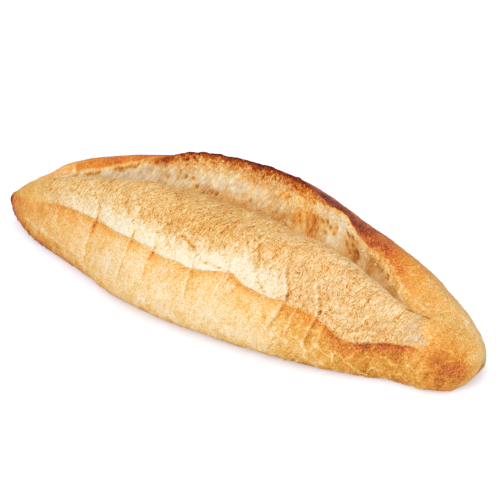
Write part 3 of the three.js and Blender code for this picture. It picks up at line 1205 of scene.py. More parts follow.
@dataclass(frozen=True)
class BloomBake:
    """Browning of the bloom: cream at its edge, tan towards the crest, in soft patches."""

    low_levels: Profile = (
        (-132, 0.44), (-120, 0.42), (-104, 0.33), (-80, 0.2), (-60, 0.14), (-30, 0.1), (-10, 0.08),
        (20, 0.08), (48, 0.14), (58, 0.34), (64, 0.42), (95, 0.42), (120, 0.34), (135, 0.26),
    )
    high_levels: Profile = (
        (-132, 0.46), (-100, 0.44), (-60, 0.45), (0, 0.51), (40, 0.46), (60, 0.42), (100, 0.41),
        (135, 0.35),
    )
    cream_reach: Profile = (
        (-130, 4), (-104, 8), (-75, 12), (-20, 14), (20, 14), (48, 18), (60, 11), (135, 9),
    )
    patches: Pattern = Pattern(51, (7.0, 10.0), 3, 0.42)
    rise: Fade = Fade(0.35, 1.35)
    ledge_level: float = 0.34

    def at(self, skin: Skin) -> Array:
        """Works out how far the bloom and its ledge baked.

        Args:
            skin: the smooth skin.

        Returns:
            One level for each place.
        """
        share = self.rise.at(skin.up / along(self.cream_reach, skin.x) + self.patches.at(skin.flat))
        level = lerp(along(self.low_levels, skin.x), along(self.high_levels, skin.x), share)
        return np.where(skin.zones[None, :] == Zone.LEDGE, self.ledge_level, level)


@dataclass(frozen=True)
class Stain:
    """A brown place on the crumb wall, below the lip, and squash times as long downwards as along X."""

    place: float
    below: float
    reach: float
    amount: float = 1.0
    squash: float = 1.0

    def at(self, x: Array, depth: Array) -> Array:
        """The browning that it adds at each place."""
        gap = np.hypot(x - self.place, (depth - self.below) / self.squash)
        return self.amount * bell(gap, 0, self.reach)


@dataclass(frozen=True)
class Rib:
    """A browner, redder rib that runs down the crumb wall, with a stain at its foot."""

    place: float = 35.0
    lean: float = 0.2
    width: float = 2.8
    start: Fade = Fade(2, 7)
    sway: Pattern = Pattern(70, 5.0, 2, 1.6)
    fibre: Pattern = Pattern(56, (2.0, 10.0), 2, 0.4)
    level: float = 0.5
    share: float = 0.85
    stain: Stain = Stain(33.0, 20.0, 3.0, squash=1.6)
    stain_level: float = 0.16
    red_width: float = 3.6
    red_share: float = 0.75
    red_stain: Stain = Stain(33.0, 20.0, 4.0, squash=1.6)

    def bake(self, skin: Skin, level: Array) -> Array:
        """Browns the wall along the rib.

        Args:
            skin: the smooth skin.
            level: the wall's browning without the rib.

        Returns:
            The browning with it.
        """
        depth = -skin.lip
        leant = skin.x - self.lean * depth
        there = bell(leant + self.sway.at(skin.flat), self.place, self.width) * self.start.at(depth)
        stain = self.stain.at(skin.x, depth)
        brown = self.level + self.fibre.at(leant, depth) + self.stain_level * stain
        return lerp(level, brown, self.share * np.maximum(there, stain))

    def red(self, skin: Skin) -> Array:
        """How red the rib and its stain are."""
        rib = self.red_share * bell(skin.x + self.lean * skin.lip, self.place, self.red_width)
        return np.maximum(rib, self.red_stain.at(skin.x, -skin.lip))


@dataclass(frozen=True)
class UnderLipShade:
    """Painted shade in the hollows right under the lip, between the teeth of its ragged border."""

    levels: Profile = ((-122, 0), (-112, 0.65), (-92, 0.75), (-62, 0.6), (-50, 0.2), (-40, 0))
    most: float = 0.66
    below: float = 2.4
    reach: float = 1.3
    teeth: Pattern = Pattern(67, (2.4, 1.0), 2)
    depths: Pattern = Pattern(68, (5.0, 1.0), 2)
    depth_shift: float = 0.5
    usual: float = 0.7
    unevenness: float = 1.2
    limits: Pair = (0.1, 1.5)

    def bake(self, skin: Skin, level: Array) -> Array:
        """Paints shade into the hollows.

        Args:
            skin: the smooth skin.
            level: the wall's browning without them.

        Returns:
            The level with their painted shade.
        """
        deep = self.depths.line(skin.x)
        below = self.below + self.teeth.line(skin.x) + self.depth_shift * deep
        hollow = np.clip(self.usual + self.unevenness * deep, *self.limits)
        hollow = along(self.levels, skin.x) * bell(-skin.lip, below, self.reach) * hollow
        return np.minimum(level + hollow, np.maximum(level, self.most))


@dataclass(frozen=True)
class WallBake:
    """Browning of the crumb wall: charred at the lip, then amber, gold and cream, with painted shade deep
    down, in the pockets, in the opened bubbles, under the lip and in the hollows of the folds and the lace,
    and painted highlight on their ridges.
    """

    toast_levels: Profile = (
        (-135, 0.15), (-100, 0.3), (-75, 0.5), (-60, 0.85), (-45, 1), (45, 1), (60, 0.8), (74, 0.3),
        (84, 0.1),
    )
    toast_reach: Profile = (
        (-100, 2), (-70, 4), (-40, 12), (-18, 9.5), (6, 15.5), (24, 16), (32, 14), (38, 9), (45, 5),
        (60, 3), (90, 4),
    )
    toast_fall: Profile = (
        (0, 1), (0.05, 0.95), (0.1, 0.88), (0.2, 0.8), (0.44, 0.64), (0.56, 0.55), (0.7, 0.45),
        (0.85, 0.32), (1, 0.2), (1.2, 0.08),
    )
    toast_rags: tuple[Pattern, ...] = (Pattern(52, 5.0, 2, 0.5), Pattern(55, 1.9, 1, 0.3))
    toast_end: Fade = Fade(0.9, 1.5)
    char_levels: Profile = (
        (-110, 0.55), (-60, 0.86), (-45, 0.96), (-25, 0.98), (-10, 1), (30, 1), (36, 0.96), (42, 0.86),
        # The skin before it stands a step prouder and is paler beside it, partly a painted highlight along
        # that proud edge, the split itself takes painted shade, and a browner plate begins behind it.
        (50, 0.74), (68, 0.66), (76, 0.72), (118, 0.76),
    )
    lace_band: Lump = Lump(0.5, 0.34, 1.0)
    # Painted shade in the lace's pits and painted highlight on its ridges.
    pit_painted_shade: float = 0.26
    ridge_painted_highlight: float = 0.24
    # Past about 74, where the slash narrows, the higher levels are partly painted shade in that narrow
    # part.
    golden_levels: Profile = (
        (-60, 0.04), (-10, 0.1), (12, 0.2), (22, 0.3), (30, 0.4), (42, 0.34), (47, 0.16), (52, 0.08),
        (58, 0.06), (66, 0.1), (74, 0.24), (80, 0.38), (118, 0.48),
    )
    golden_start: Fade = Fade(1, 7)
    golden_narrow: Fade = Fade(58, 76)
    # Partly the pockets' own golden brown, partly painted shade in these hollows of the wall.
    pocket_brown_and_shade_levels: Profile = (
        (38, 0), (43, 0.22), (50, 0.16), (58, 0.12), (66, 0.18), (74, 0.16), (82, 0),
    )
    pocket_start: Fade = Fade(7, 13)
    pocket_usual: float = 0.9
    pocket_patches: Pattern = Pattern(69, (4.0, 5.0), 2, 0.8)
    pocket_limits: Pair = (0.2, 1.5)
    # Painted shade deep down the slash, towards the trough.
    deep_shade_level: float = 0.46
    deep_start: Fade = Fade(13, 28)
    # Painted shade in the hollows of the hanging folds, and painted highlight on their ridges.
    fold_shade_and_highlight: float = 0.25
    fold_start: Fade = Fade(1, 6)
    streak: Lump = Lump(16.5, 4.0, 0.36)
    streak_lean: float = 0.4
    streak_below: float = 16.0
    streak_span: Triple = (12.0, 21.0, 5.0)
    rib: Rib = Rib()
    under_lip_shade: UnderLipShade = UnderLipShade()
    knob: Stain = Stain(-56.0, 2.5, 3.2)
    knob_level: float = 0.8
    stains: tuple[Stain, ...] = (Stain(52.0, 13.0, 6.0, 0.12), Stain(71.0, 10.0, 5.5, 0.16))
    # Painted shade in the opened bubbles.
    hole_painted_shade: float = 0.5
    hole_most: float = 0.68

    def crumb(self, skin: Skin, marks: Marks) -> Array:
        """Works out the wall under its toast: cream, gold by the rib, brown with painted shade in the
        pockets, painted shade deep down, and the folds painted darker in their hollows and paler on their
        ridges.

        Args:
            skin: the smooth skin.
            marks: the shares over it.

        Returns:
            One level for each place.
        """
        x, depth = skin.x, -skin.lip
        begun = np.maximum(self.golden_start.at(depth), self.golden_narrow.at(x))
        hollow = np.clip(self.pocket_usual - self.pocket_patches.at(skin.flat), *self.pocket_limits)
        level = along(self.golden_levels, x) * begun
        # Brown with painted shade in the hollow pockets.
        level += along(self.pocket_brown_and_shade_levels, x) * self.pocket_start.at(depth) * hollow
        # Painted shade deep down the wall.
        level = np.maximum(level, self.deep_shade_level * self.deep_start.at(depth))
        # Folds painted darker in their hollows and paler on their ridges.
        level -= self.fold_shade_and_highlight * marks.drape * self.fold_start.at(depth)
        leant = x + self.streak_lean * (depth - self.streak_below)
        return level + self.streak.at(leant) * span(depth, *self.streak_span)

    def at(self, skin: Skin, marks: Marks, holes: Sequence[Hole]) -> Array:
        """Works out how far the wall baked, with its painted shade and highlight.

        Args:
            skin: the smooth skin.
            marks: the shares over it.
            holes: the bubbles at places of their own.

        Returns:
            One level for each place.
        """
        x, depth = skin.x, -skin.lip
        rag = 1 + sum(pattern.at(skin.flat) for pattern in self.toast_rags)
        share = depth * rag / along(self.toast_reach, x)
        toasted = along(self.toast_fall, share) * along(self.char_levels, x)
        level = lerp(self.crumb(skin, marks), toasted, marks.toast * (1 - self.toast_end.at(share)))
        # Painted shade in the pits and painted highlight on the ridges of the toasted net.
        lace = self.pit_painted_shade * marks.pit - self.ridge_painted_highlight * marks.ridge
        level = self.rib.bake(skin, level + marks.toast * self.lace_band.at(share) * lace)
        # Painted shade under the lip.
        level = lerp(self.under_lip_shade.bake(skin, level), self.knob_level, self.knob.at(x, depth))
        level += sum(stain.at(x, depth) for stain in self.stains)
        # Painted shade in the opened bubbles.
        opened = np.minimum(sum(hole.at(x, skin.lip) for hole in holes), 1)
        return np.minimum(level + self.hole_painted_shade * opened, np.maximum(level, self.hole_most))


@dataclass(frozen=True)
class BackBake:
    """Browning behind the lip: scorched along the ear, brown on the back, split and torn at the far end."""

    levels: Profile = (
        (-160, 0.46), (-119, 0.4), (-114, 0.57), (-100, 0.6), (-82, 0.68), (60, 0.68), (88, 0.66),
        (100, 0.58), (115, 0.5), (132, 0.42), (150, 0.37), (160, 0.33),
    )
    far_levels: Profile = (
        (-135, 0.46), (-90, 0.6), (-60, 0.66), (60, 0.68), (88, 0.64), (100, 0.58), (115, 0.5),
        (132, 0.42), (150, 0.37), (160, 0.33),
    )
    far_start: Fade = Fade(6, 16)
    scorch_shares: Profile = (
        (-130, 0), (-86, 0.1), (-72, 0.5), (-55, 0.9), (60, 1), (85, 0.8), (98, 0.35), (115, 0),
    )
    scorch_place: Profile = ((-60, 0), (25, 1), (38, 5), (50, 7.5), (62, 6.5), (75, 6))
    scorch_reach: Profile = ((-60, 6), (30, 9), (60, 8), (80, 7.5), (100, 6.5))
    scorch_levels: Profile = (
        (-72, 0.76), (-55, 0.9), (-30, 0.98), (35, 0.96), (48, 0.89), (78, 0.84), (100, 0.76),
    )
    scorch_rag: Pattern = Pattern(57, 5.0, 2, 0.5)
    vein_paleness: float = 0.14
    pale_lip: Profile = (
        (-118, 0), (-108, 0.28), (-56, 0.28), (-46, 0), (36, 0), (44, 0.2), (60, 0.14), (72, 0.1),
        (84, 0),
    )
    pale_lip_reach: float = 1.0
    frill_level: float = 0.36
    frill_patches: Pattern = Pattern(75, 2.0, 2, 0.3)
    split_place: float = -114.0
    split_lean: float = 0.5
    split_rag: Pattern = Pattern(66, 3.0, 2, 1.5)
    split_width: float = 2.0
    split_length: float = 8.0
    split_narrowest: float = 0.15
    split_end: Fade = Fade(5, 9)
    split_paleness: float = 0.4
    tears: Pattern = Pattern(62, (9.0, 1.4), 2)
    tear_edge: Fade = Fade(0.1, 0.5)
    tear_start: float = -136.0
    tear_fade: float = 5.0
    tear_band: Lump = Lump(2.0, 6.0, 0.22)

    def plain(self, skin: Skin) -> Array:
        """The back's level without what happened at the lip."""
        return lerp(along(self.levels, skin.x), along(self.far_levels, skin.x), self.far_start.at(skin.lip))

    def at(self, skin: Skin, marks: Marks) -> Array:
        """Works out how far the ear and the back baked.

        Args:
            skin: the smooth skin.
            marks: the shares over it.

        Returns:
            One level for each place.
        """
        x, lip = skin.x, skin.lip
        rag = 1 + self.scorch_rag.at(skin.points)
        scorch = bell(lip * rag, along(self.scorch_place, x), along(self.scorch_reach, x))
        scorch = scorch * along(self.scorch_shares, x) * (lip >= 0)
        level = lerp(self.plain(skin), along(self.scorch_levels, x), scorch)
        level -= self.vein_paleness * marks.veins
        level -= along(self.pale_lip, x) * bell(lip, 0, self.pale_lip_reach)
        level = lerp(level, self.frill_level + self.frill_patches.at(skin.flat), marks.frill)
        split = x + self.split_lean * lip - self.split_place + self.split_rag.at(skin.points)
        width = self.split_width * np.clip(1 - lip / self.split_length, self.split_narrowest, 1)
        level -= self.split_paleness * bell(split, 0, width) * (1 - self.split_end.at(lip))
        tear = self.tear_edge.at(self.tears.at(x, lip)) * self.tear_band.at(lip)
        return level - tear * span(x, self.tear_start, self.split_place, self.tear_fade)


@dataclass(frozen=True)
class Redness:
    """How red the browning is, from 0, golden, to 1: on the back, the ear and under the bloom's edge."""

    front: Profile = ((-160, 1), (-150, 0.95), (-90, 1), (-40, 0.7), (40, 0.4), (60, 0.3))
    back: Profile = ((-160, 0.6), (-115, 1), (95, 1), (132, 0.5), (160, 0.35))
    edge: float = 0.9
    edge_falls: Pair = (7.0, 9.0)
    amber_start: Fade = Fade(50, 70)
    blush: Pattern = Pattern(73, 4.0, 2, 0.9)
    low_share: float = 0.35
    low_fall: float = 14.0
    tip_start: Fade = Fade(-146, -156)
    spot_reach: float = 17.0
    spot_share: float = 0.7
    bloom: Pair = (0.15, 0.6)
    bloom_rise: Fade = Fade(10, 60)
    toast_end: Fade = Fade(0.8, 1.3)

    def at(self, skin: Skin, marks: Marks, wall: WallBake, spot: Spot) -> Array:
        """Works out how red each place is.

        Args:
            skin: the smooth skin.
            marks: the shares over it.
            wall: the wall's browning, whose toast and rib are red.
            spot: the browned spot that is red too.

        Returns:
            One share for each place.
        """
        x, up = skin.x, np.minimum(skin.up, 0)
        edge = self.edge * np.exp(up / lerp(*self.edge_falls, self.amber_start.at(x)))
        fall = np.maximum(lerp(self.low_share, 1.0, np.exp(up / self.low_fall)), self.tip_start.at(x))
        blush = 1 + self.blush.at(skin.flat)
        front = np.clip(np.maximum(along(self.front, x) * fall, edge) * blush, 0, 1)
        gap = np.linalg.norm(skin.points - np.array(spot.place), axis=-1)
        front = np.maximum(front, self.spot_share * bell(gap, 0, self.spot_reach))
        level = front * skin.is_in(Zone.FRONT) + along(self.back, x) * skin.is_in(Zone.EAR, Zone.BACK)
        level += lerp(*self.bloom, self.bloom_rise.at(x)) * skin.is_in(*BLOOM_ZONES)
        toasted = marks.toast * (1 - self.toast_end.at(-skin.lip / along(wall.toast_reach, x)))
        return level + np.maximum(toasted, wall.rib.red(skin)) * skin.is_in(Zone.WALL)


@dataclass(frozen=True)
class PaintedShade:
    """Painted shade on the torn crumb: grey-brown deeper down the wall, in the fold under the lip and in
    the narrow ends of the slash, and the same grey-brown tint laid on the bloom's blunt tip.
    """

    levels: Profile = (
        (-60, 0.16), (-30, 0), (25, 0), (45, 0.06), (52, 0.08), (60, 0.1), (68, 0.2), (80, 0.4),
        (90, 0.5), (120, 0.6),
    )
    fold_levels: Profile = ((-80, 0.25), (-62, 0.2), (-48, 0.1), (-40, 0))
    fringe: float = 3.0
    rag: Pattern = Pattern(71, (4.0, 9.0), 2, 3.0)
    start: Fade = Fade(0, 2.5)
    deep: float = 0.12
    deep_start: Fade = Fade(9, 24)
    fold: Lump = Lump(1.5, 2.2, 1.0)
    tip: Lump = Lump(131.0, 8.0, 0.3)

    def at(self, skin: Skin, marks: Marks) -> Array:
        """Works out how much painted shade each place takes.

        Args:
            skin: the smooth skin.
            marks: the shares over it.

        Returns:
            One share for each place.
        """
        depth = -skin.lip - self.fringe - self.rag.at(skin.x, skin.lip)
        level = along(self.levels, skin.x) * self.start.at(depth) + self.deep * self.deep_start.at(depth)
        level += along(self.fold_levels, skin.x) * self.fold.at(depth)
        tip = self.tip.at(skin.x) * skin.is_in(*BLOOM_ZONES)
        return (level * skin.is_in(Zone.WALL) + tip) * marks.torn


@dataclass
class Loaf(Dressed):
    """The whole loaf: one closed skin with its relief, its browning and its three finishes."""

    form: LoafForm
    handwork: Handwork = Handwork()
    name: str = "loaf_skin"
    torn: TornArea = TornArea()
    veins: Veins = Veins()
    frill: Frill = Frill()
    lace: Lace = Lace()
    crust_relief: CrustRelief = CrustRelief()
    bloom_relief: BloomRelief = BloomRelief()
    wall_relief: WallRelief = WallRelief()
    front: FrontBake = FrontBake()
    bloom: BloomBake = BloomBake()
    wall: WallBake = WallBake()
    back: BackBake = BackBake()
    redness: Redness = Redness()
    # Painted shade on the torn crumb, kept in the shade layer.
    painted_shade: PaintedShade = PaintedShade()
    tip_fade: Fade = Fade(0, 6)
    base_fade: Fade = Fade(0, 1.5)
    ledge_split: float = 0.25
    crack_most: float = 0.74
    base_level: float = 0.62
    top_rise: Fade = Fade(0, 30)
    top_vein_paleness: float = 0.2
    # A browner rim along the base, partly painted contact shade where the side turns under towards the
    # floor.
    rim_levels: Profile = (
        (-160, 0.26), (-120, 0.38), (-60, 0.5), (0, 0.56), (50, 0.48), (85, 0.24), (160, 0.08),
    )
    rim_reach: float = 11.5
    rim_rag: Pattern = Pattern(58, 7.0, 2, 0.4)
    mottle: Pattern = Pattern(53, 16.0, 3, 0.05)
    skin: Skin = field(init=False)
    marks: Marks = field(init=False)
    points: Array = field(init=False)
    layers: dict[str, Array] = field(init=False)

    def __post_init__(self) -> None:
        """Works out the smooth skin, the shares over it, the finished points and the finishes' layers."""
        skin = self.skin = self.form.skin()
        pit, ridge = self.lace.at(skin)
        self.marks = Marks(
            torn=self.torn.at(skin),
            veins=self.veins.at(skin),
            frill=self.frill.at(skin),
            pit=pit,
            ridge=ridge,
            drape=self.wall_relief.drape(skin),
            toast=along(self.wall.toast_levels, skin.x),
        )
        self.points = skin.points + skin.normals * self.relief()[..., None]
        self.points[..., 2] = np.maximum(self.points[..., 2], 0.0)
        self.layers = {
            # Browning, with painted shade and highlight worked in on the wall, along the splits and at the
            # rim.
            "browning_and_shade": self.browning_and_shade(),
            "ruddy": self.redness.at(skin, self.marks, self.wall, self.handwork.spots[0]),
            "torn": self.marks.torn,
            "shade": self.painted_shade.at(skin, self.marks),
        }

    def crackable(self) -> Array:
        """1 where drawn splits show whole, less on the narrow ledge, which would turn them into pits."""
        whole = self.skin.is_in(Zone.FRONT, Zone.BLOOM, Zone.SLOPE)
        return whole + self.ledge_split * self.skin.is_in(Zone.LEDGE)

    def relief(self) -> Array:
        """Works out how far the skin stands out from the smooth form, less at the tips and at the base.

        Returns:
            Millimetres along the normal, one for each place.
        """
        skin, marks, handwork = self.skin, self.marks, self.handwork
        crust = (1 - marks.torn) * (1 - skin.is_in(Zone.BASE))
        total = crust * self.crust_relief.at(skin, marks)
        total += marks.torn * skin.is_in(*BLOOM_ZONES) * self.bloom_relief.at(skin)
        wall = self.wall_relief.at(skin, marks, handwork.holes)
        total += marks.torn * skin.is_in(Zone.WALL) * wall
        total += sum(spot.swell / spot.amount * spot.at(skin.points) for spot in handwork.spots)
        total += sum(crack.relief(skin.x, skin.up) for crack in handwork.lines) * self.crackable()
        return total * self.tip_fade.at(self.form.half - np.abs(skin.x)) * self.base_fade.at(skin.rim)

    def browning_and_shade(self) -> Array:
        """Works out how far each place baked, from 0, raw cream, to 1, char, with painted shade and
        highlight on the wall, painted shade along the splits and some at the base's rim.

        Returns:
            One level for each place.
        """
        skin, marks, handwork = self.skin, self.marks, self.handwork
        plain = self.back.plain(skin)
        top = lerp(self.front.end(skin.x), plain, self.top_rise.at(skin.up))
        top = top - self.top_vein_paleness * marks.veins
        level = self.front.at(skin, marks, handwork.flake) * skin.is_in(Zone.FRONT)
        level += self.back.at(skin, marks) * skin.is_in(Zone.EAR, Zone.BACK)
        level += self.base_level * skin.is_in(Zone.BASE)
        level += skin.is_in(*BLOOM_ZONES) * lerp(top, self.bloom.at(skin), marks.torn)
        wall = lerp(plain, self.wall.at(skin, marks, handwork.holes), marks.torn)
        level += skin.is_in(Zone.WALL) * wall
        # Browner towards the base, partly painted contact shade.
        rim = bell(skin.rim * (1 + self.rim_rag.at(skin.points)), 0, self.rim_reach)
        level += along(self.rim_levels, skin.x) * rim * (1 - skin.is_in(Zone.BASE))
        level += sum(spot.at(skin.points) for spot in handwork.spots) + self.mottle.at(skin.points)
        tint = sum(crack.tint(skin.x, skin.up) for crack in handwork.lines) * self.crackable()
        return np.clip(np.minimum(level + tint, np.maximum(level, self.crack_most)), 0.0, 1.0)

    @staticmethod
    def at(values: Array, ring: Array, row: Array) -> Array:
        """Values between the places of the skin, from the four places round each one.

        Args:
            values: one value or vector for each place of the skin.
            ring: places along the rings, in rings.
            row: places round the rings, in rows.

        Returns:
            One value or vector for each place asked for.
        """
        i = np.clip(np.floor(ring).astype(int), 0, values.shape[0] - 2)
        j = np.clip(np.floor(row).astype(int), 0, values.shape[1] - 2)
        spread = ring.shape + (1,) * (values.ndim - 2)
        a, b = (ring - i).reshape(spread), (row - j).reshape(spread)
        here = lerp(values[i, j], values[i + 1, j], a)
        return lerp(here, lerp(values[i, j + 1], values[i + 1, j + 1], a), b)

    def build(self) -> bpy.types.Object:
        """Makes the loaf's mesh: rings joined by four-sided faces, with a fan of triangles at each tip.

        Returns:
            The finished object, with its layers and its unrolled sheet.
        """
        skin = self.skin
        rings, rows = self.points.shape[:2]
        form = self.form
        sides = ((-1, form.pointed_tip_height), (1, form.blunt_tip_height))
        tips = np.array([[side * form.half, form.tip_line_y, height] for side, height in sides])
        ring, row = np.meshgrid(np.arange(rings - 1), np.arange(rows), indexing="ij")
        corners = ((0, 0), (1, 0), (1, 1), (0, 1))
        quads = np.stack([(ring + i) * rows + (row + j) % rows for i, j in corners], -1).reshape(-1, 4)
        quad_sheet = np.stack([skin.sheet[ring + i, row + j] for i, j in corners], -2).reshape(-1, 4, 2)
        one = np.arange(rows)
        first_tip, last_tip = rings * rows, rings * rows + 1
        last_ring = (rings - 1) * rows
        start = np.stack([np.full(rows, first_tip), one, (one + 1) % rows], -1)
        end = np.stack([np.full(rows, last_tip), last_ring + (one + 1) % rows, last_ring + one], -1)
        start_sheet = np.stack([skin.sheet[0, :-1], skin.sheet[0, :-1], skin.sheet[0, 1:]], 1)
        end_sheet = np.stack([skin.sheet[-1, :-1], skin.sheet[-1, 1:], skin.sheet[-1, :-1]], 1)
        finish_of_row = np.array([Slot.of(zone) for zone in skin.zones])
        ends = {name: (values[0].mean(), values[-1].mean()) for name, values in self.layers.items()}
        return Piece(
            name=self.name,
            points=np.concatenate([self.points.reshape(-1, 3), tips]),
            corners=np.concatenate([quads.ravel(), start.ravel(), end.ravel()]),
            sizes=np.concatenate([np.full(len(quads), 4), np.full(2 * rows, 3)]),
            sheet=np.concatenate([s.reshape(-1, 2) for s in (quad_sheet, start_sheet, end_sheet)]),
            finishes=np.concatenate([finish_of_row[row.ravel()], finish_of_row, finish_of_row]),
            layers={name: np.append(values.ravel(), ends[name]) for name, values in self.layers.items()},
        ).make()


@dataclass
class Scatter(Dressed):
    """Many small closed shells of torn crumb on the wall, each a pole, rings of corners and a pole.

    Crowd and reach tell along X how closely they stand and how far under the lip they go, and clearing, in
    clearances, where they begin. Browning, red and shade come from the wall behind them.
    """

    loaf: Loaf
    name: str
    seed: int
    count: int
    sides: int
    rings: int
    crowd: Profile
    reach: Profile
    unevenness: float
    paleness: float
    darkest: float
    warmth: float
    shading: float
    clearance: float
    clearing: Pair = (0.4, 1.4)
    palest: float = 0.02

    def places(self, random: np.random.Generator) -> tuple[Array, Array]:
        """Draws places on the wall, the likelier the nearer to the lip.

        Args:
            random: draws them.

        Returns:
            The places, in rings and in rows.
        """
        skin = self.loaf.skin
        wall = np.flatnonzero(skin.zones == Zone.WALL)
        depth = -skin.lip[:, wall]
        x = skin.x[:, wall]
        chance = along(self.crowd, x) * bell(depth, 0, along(self.reach, x)) * skin.gape[:, None]
        chance = chance * smooth(*(share * self.clearance for share in self.clearing), depth)
        drawn = random.choice(chance.size, self.count, p=chance.ravel() / chance.sum())
        ring, row = np.divmod(drawn, len(wall))
        return ring + random.random(self.count), wall[0] + row + random.random(self.count)

    def shells(self, random: np.random.Generator, ring: Array, row: Array) -> Array:
        """The shells' points, one line for each shell: first pole, rings and last pole."""
        raise NotImplementedError

    def faces(self) -> Array:
        """Works out the triangles of one shell, for rings that turn left as seen from the first pole.

        Returns:
            Three corners for each triangle, facing outwards.
        """
        here = np.arange(self.sides)
        after = (here + 1) % self.sides
        last = 1 + (self.rings - 1) * self.sides
        pole = last + self.sides
        first_fan = np.stack([0 * here, 1 + here, 1 + after], -1)
        last_fan = np.stack([0 * here + pole, last + after, last + here], -1)
        start = 1 + self.sides * np.arange(self.rings - 1)[:, None]
        upper, upper_next = start + here, start + after
        lower, lower_next = upper + self.sides, upper_next + self.sides
        left = np.stack([upper, lower, lower_next], -1).reshape(-1, 3)
        right = np.stack([upper, lower_next, upper_next], -1).reshape(-1, 3)
        return np.concatenate([first_fan, left, right, last_fan])

    def build(self) -> bpy.types.Object:
        """Makes the shells' mesh.

        Returns:
            The finished object.
        """
        random = np.random.default_rng(self.seed)
        ring, row = self.places(random)
        points = self.shells(random, ring, row)
        corners_each = points.shape[1]
        faces = self.faces()
        corners = (faces[None] + corners_each * np.arange(self.count)[:, None, None]).ravel()
        level = self.loaf.at(self.loaf.layers["browning_and_shade"], ring, row) - self.paleness
        level += self.unevenness * random.standard_normal(self.count)
        layers = {
            "browning_and_shade": np.clip(level, self.palest, self.darkest),
            "ruddy": self.warmth * self.loaf.at(self.loaf.layers["ruddy"], ring, row),
            "torn": np.ones(self.count),
            "shade": self.shading * self.loaf.at(self.loaf.layers["shade"], ring, row),
        }
        offset = points - points.mean(axis=1, keepdims=True)
        sheet = self.loaf.at(self.loaf.skin.flat, ring, row)[:, None] + offset[..., (0, 2)]
        return Piece(
            name=self.name,
            points=points.reshape(-1, 3),
            corners=corners,
            sizes=np.full(len(corners) // 3, 3),
            sheet=sheet.reshape(-1, 2)[corners],
            finishes=np.full(len(corners) // 3, Slot.CRUMB),
            layers={name: np.repeat(values, corners_each) for name, values in layers.items()},
        ).make()


@dataclass
class CrumbGrains(Scatter):
    """Rough grains of crumb: toasted ones under the lip and a pale ragged fringe at the slash's ends."""

    name: str = "crumb_grains"
    seed: int = 81
    count: int = 1100
    sides: int = 6
    rings: int = 3
    crowd: Profile = ((-112, 0.2), (-70, 0.4), (-45, 1), (45, 1), (60, 0.9), (100, 0.8), (118, 0.2))
    reach: Profile = (
        (-112, 1.5), (-60, 3), (-40, 8), (0, 9), (30, 10), (45, 5), (60, 4), (100, 4), (118, 2),
    )
    unevenness: float = 0.1
    paleness: float = 0.06
    darkest: float = 0.8
    warmth: float = 1.0
    shading: float = 0.3
    clearance: float = 3.0
    radius: Pair = (0.3, 1.0)
    small_ones: float = 1.6
    stretch: float = 1.7
    flatness: float = 0.5
    lumpiness: float = 0.22
    lump_limit: float = 1.5

    def shells(self, random: np.random.Generator, ring: Array, row: Array) -> Array:
        """Lumpy flattened balls, turned at random on the wall.

        Args:
            random: gives sizes, turns and lumps.
            ring: places along the rings.
            row: places round the rings.

        Returns:
            The points, one line for each grain.
        """
        tilt = np.pi * np.arange(1, self.rings + 1) / (self.rings + 1)
        turn = 2 * np.pi * np.arange(self.sides) / self.sides
        girth = np.sin(tilt)[:, None]
        body = [girth * np.cos(turn), girth * np.sin(turn), np.cos(tilt)[:, None] + 0 * turn]
        ball = np.concatenate([[[0, 0, 1]], np.stack(body, -1).reshape(-1, 3), [[0, 0, -1]]])
        centre = self.loaf.at(self.loaf.points, ring, row)
        normal = unit(self.loaf.at(self.loaf.skin.normals, ring, row))
        side = unit(np.cross(normal, random.standard_normal((self.count, 3))))
        axes = np.stack([side, np.cross(normal, side), normal], 1)
        size = lerp(*self.radius, random.random(self.count) ** self.small_ones)
        stretch = lerp(1.0, self.stretch, random.random(self.count))
        sizes = size[:, None] * np.stack([stretch, 1 / stretch, np.full(self.count, self.flatness)], -1)
        lump = random.standard_normal((self.count, len(ball), 1))
        lump = 1 + self.lumpiness * np.clip(lump, -self.lump_limit, self.lump_limit)
        local = lump * ball[None] * sizes[:, None]
        return centre[:, None] + np.einsum("nvk,nkd->nvd", local, axes)


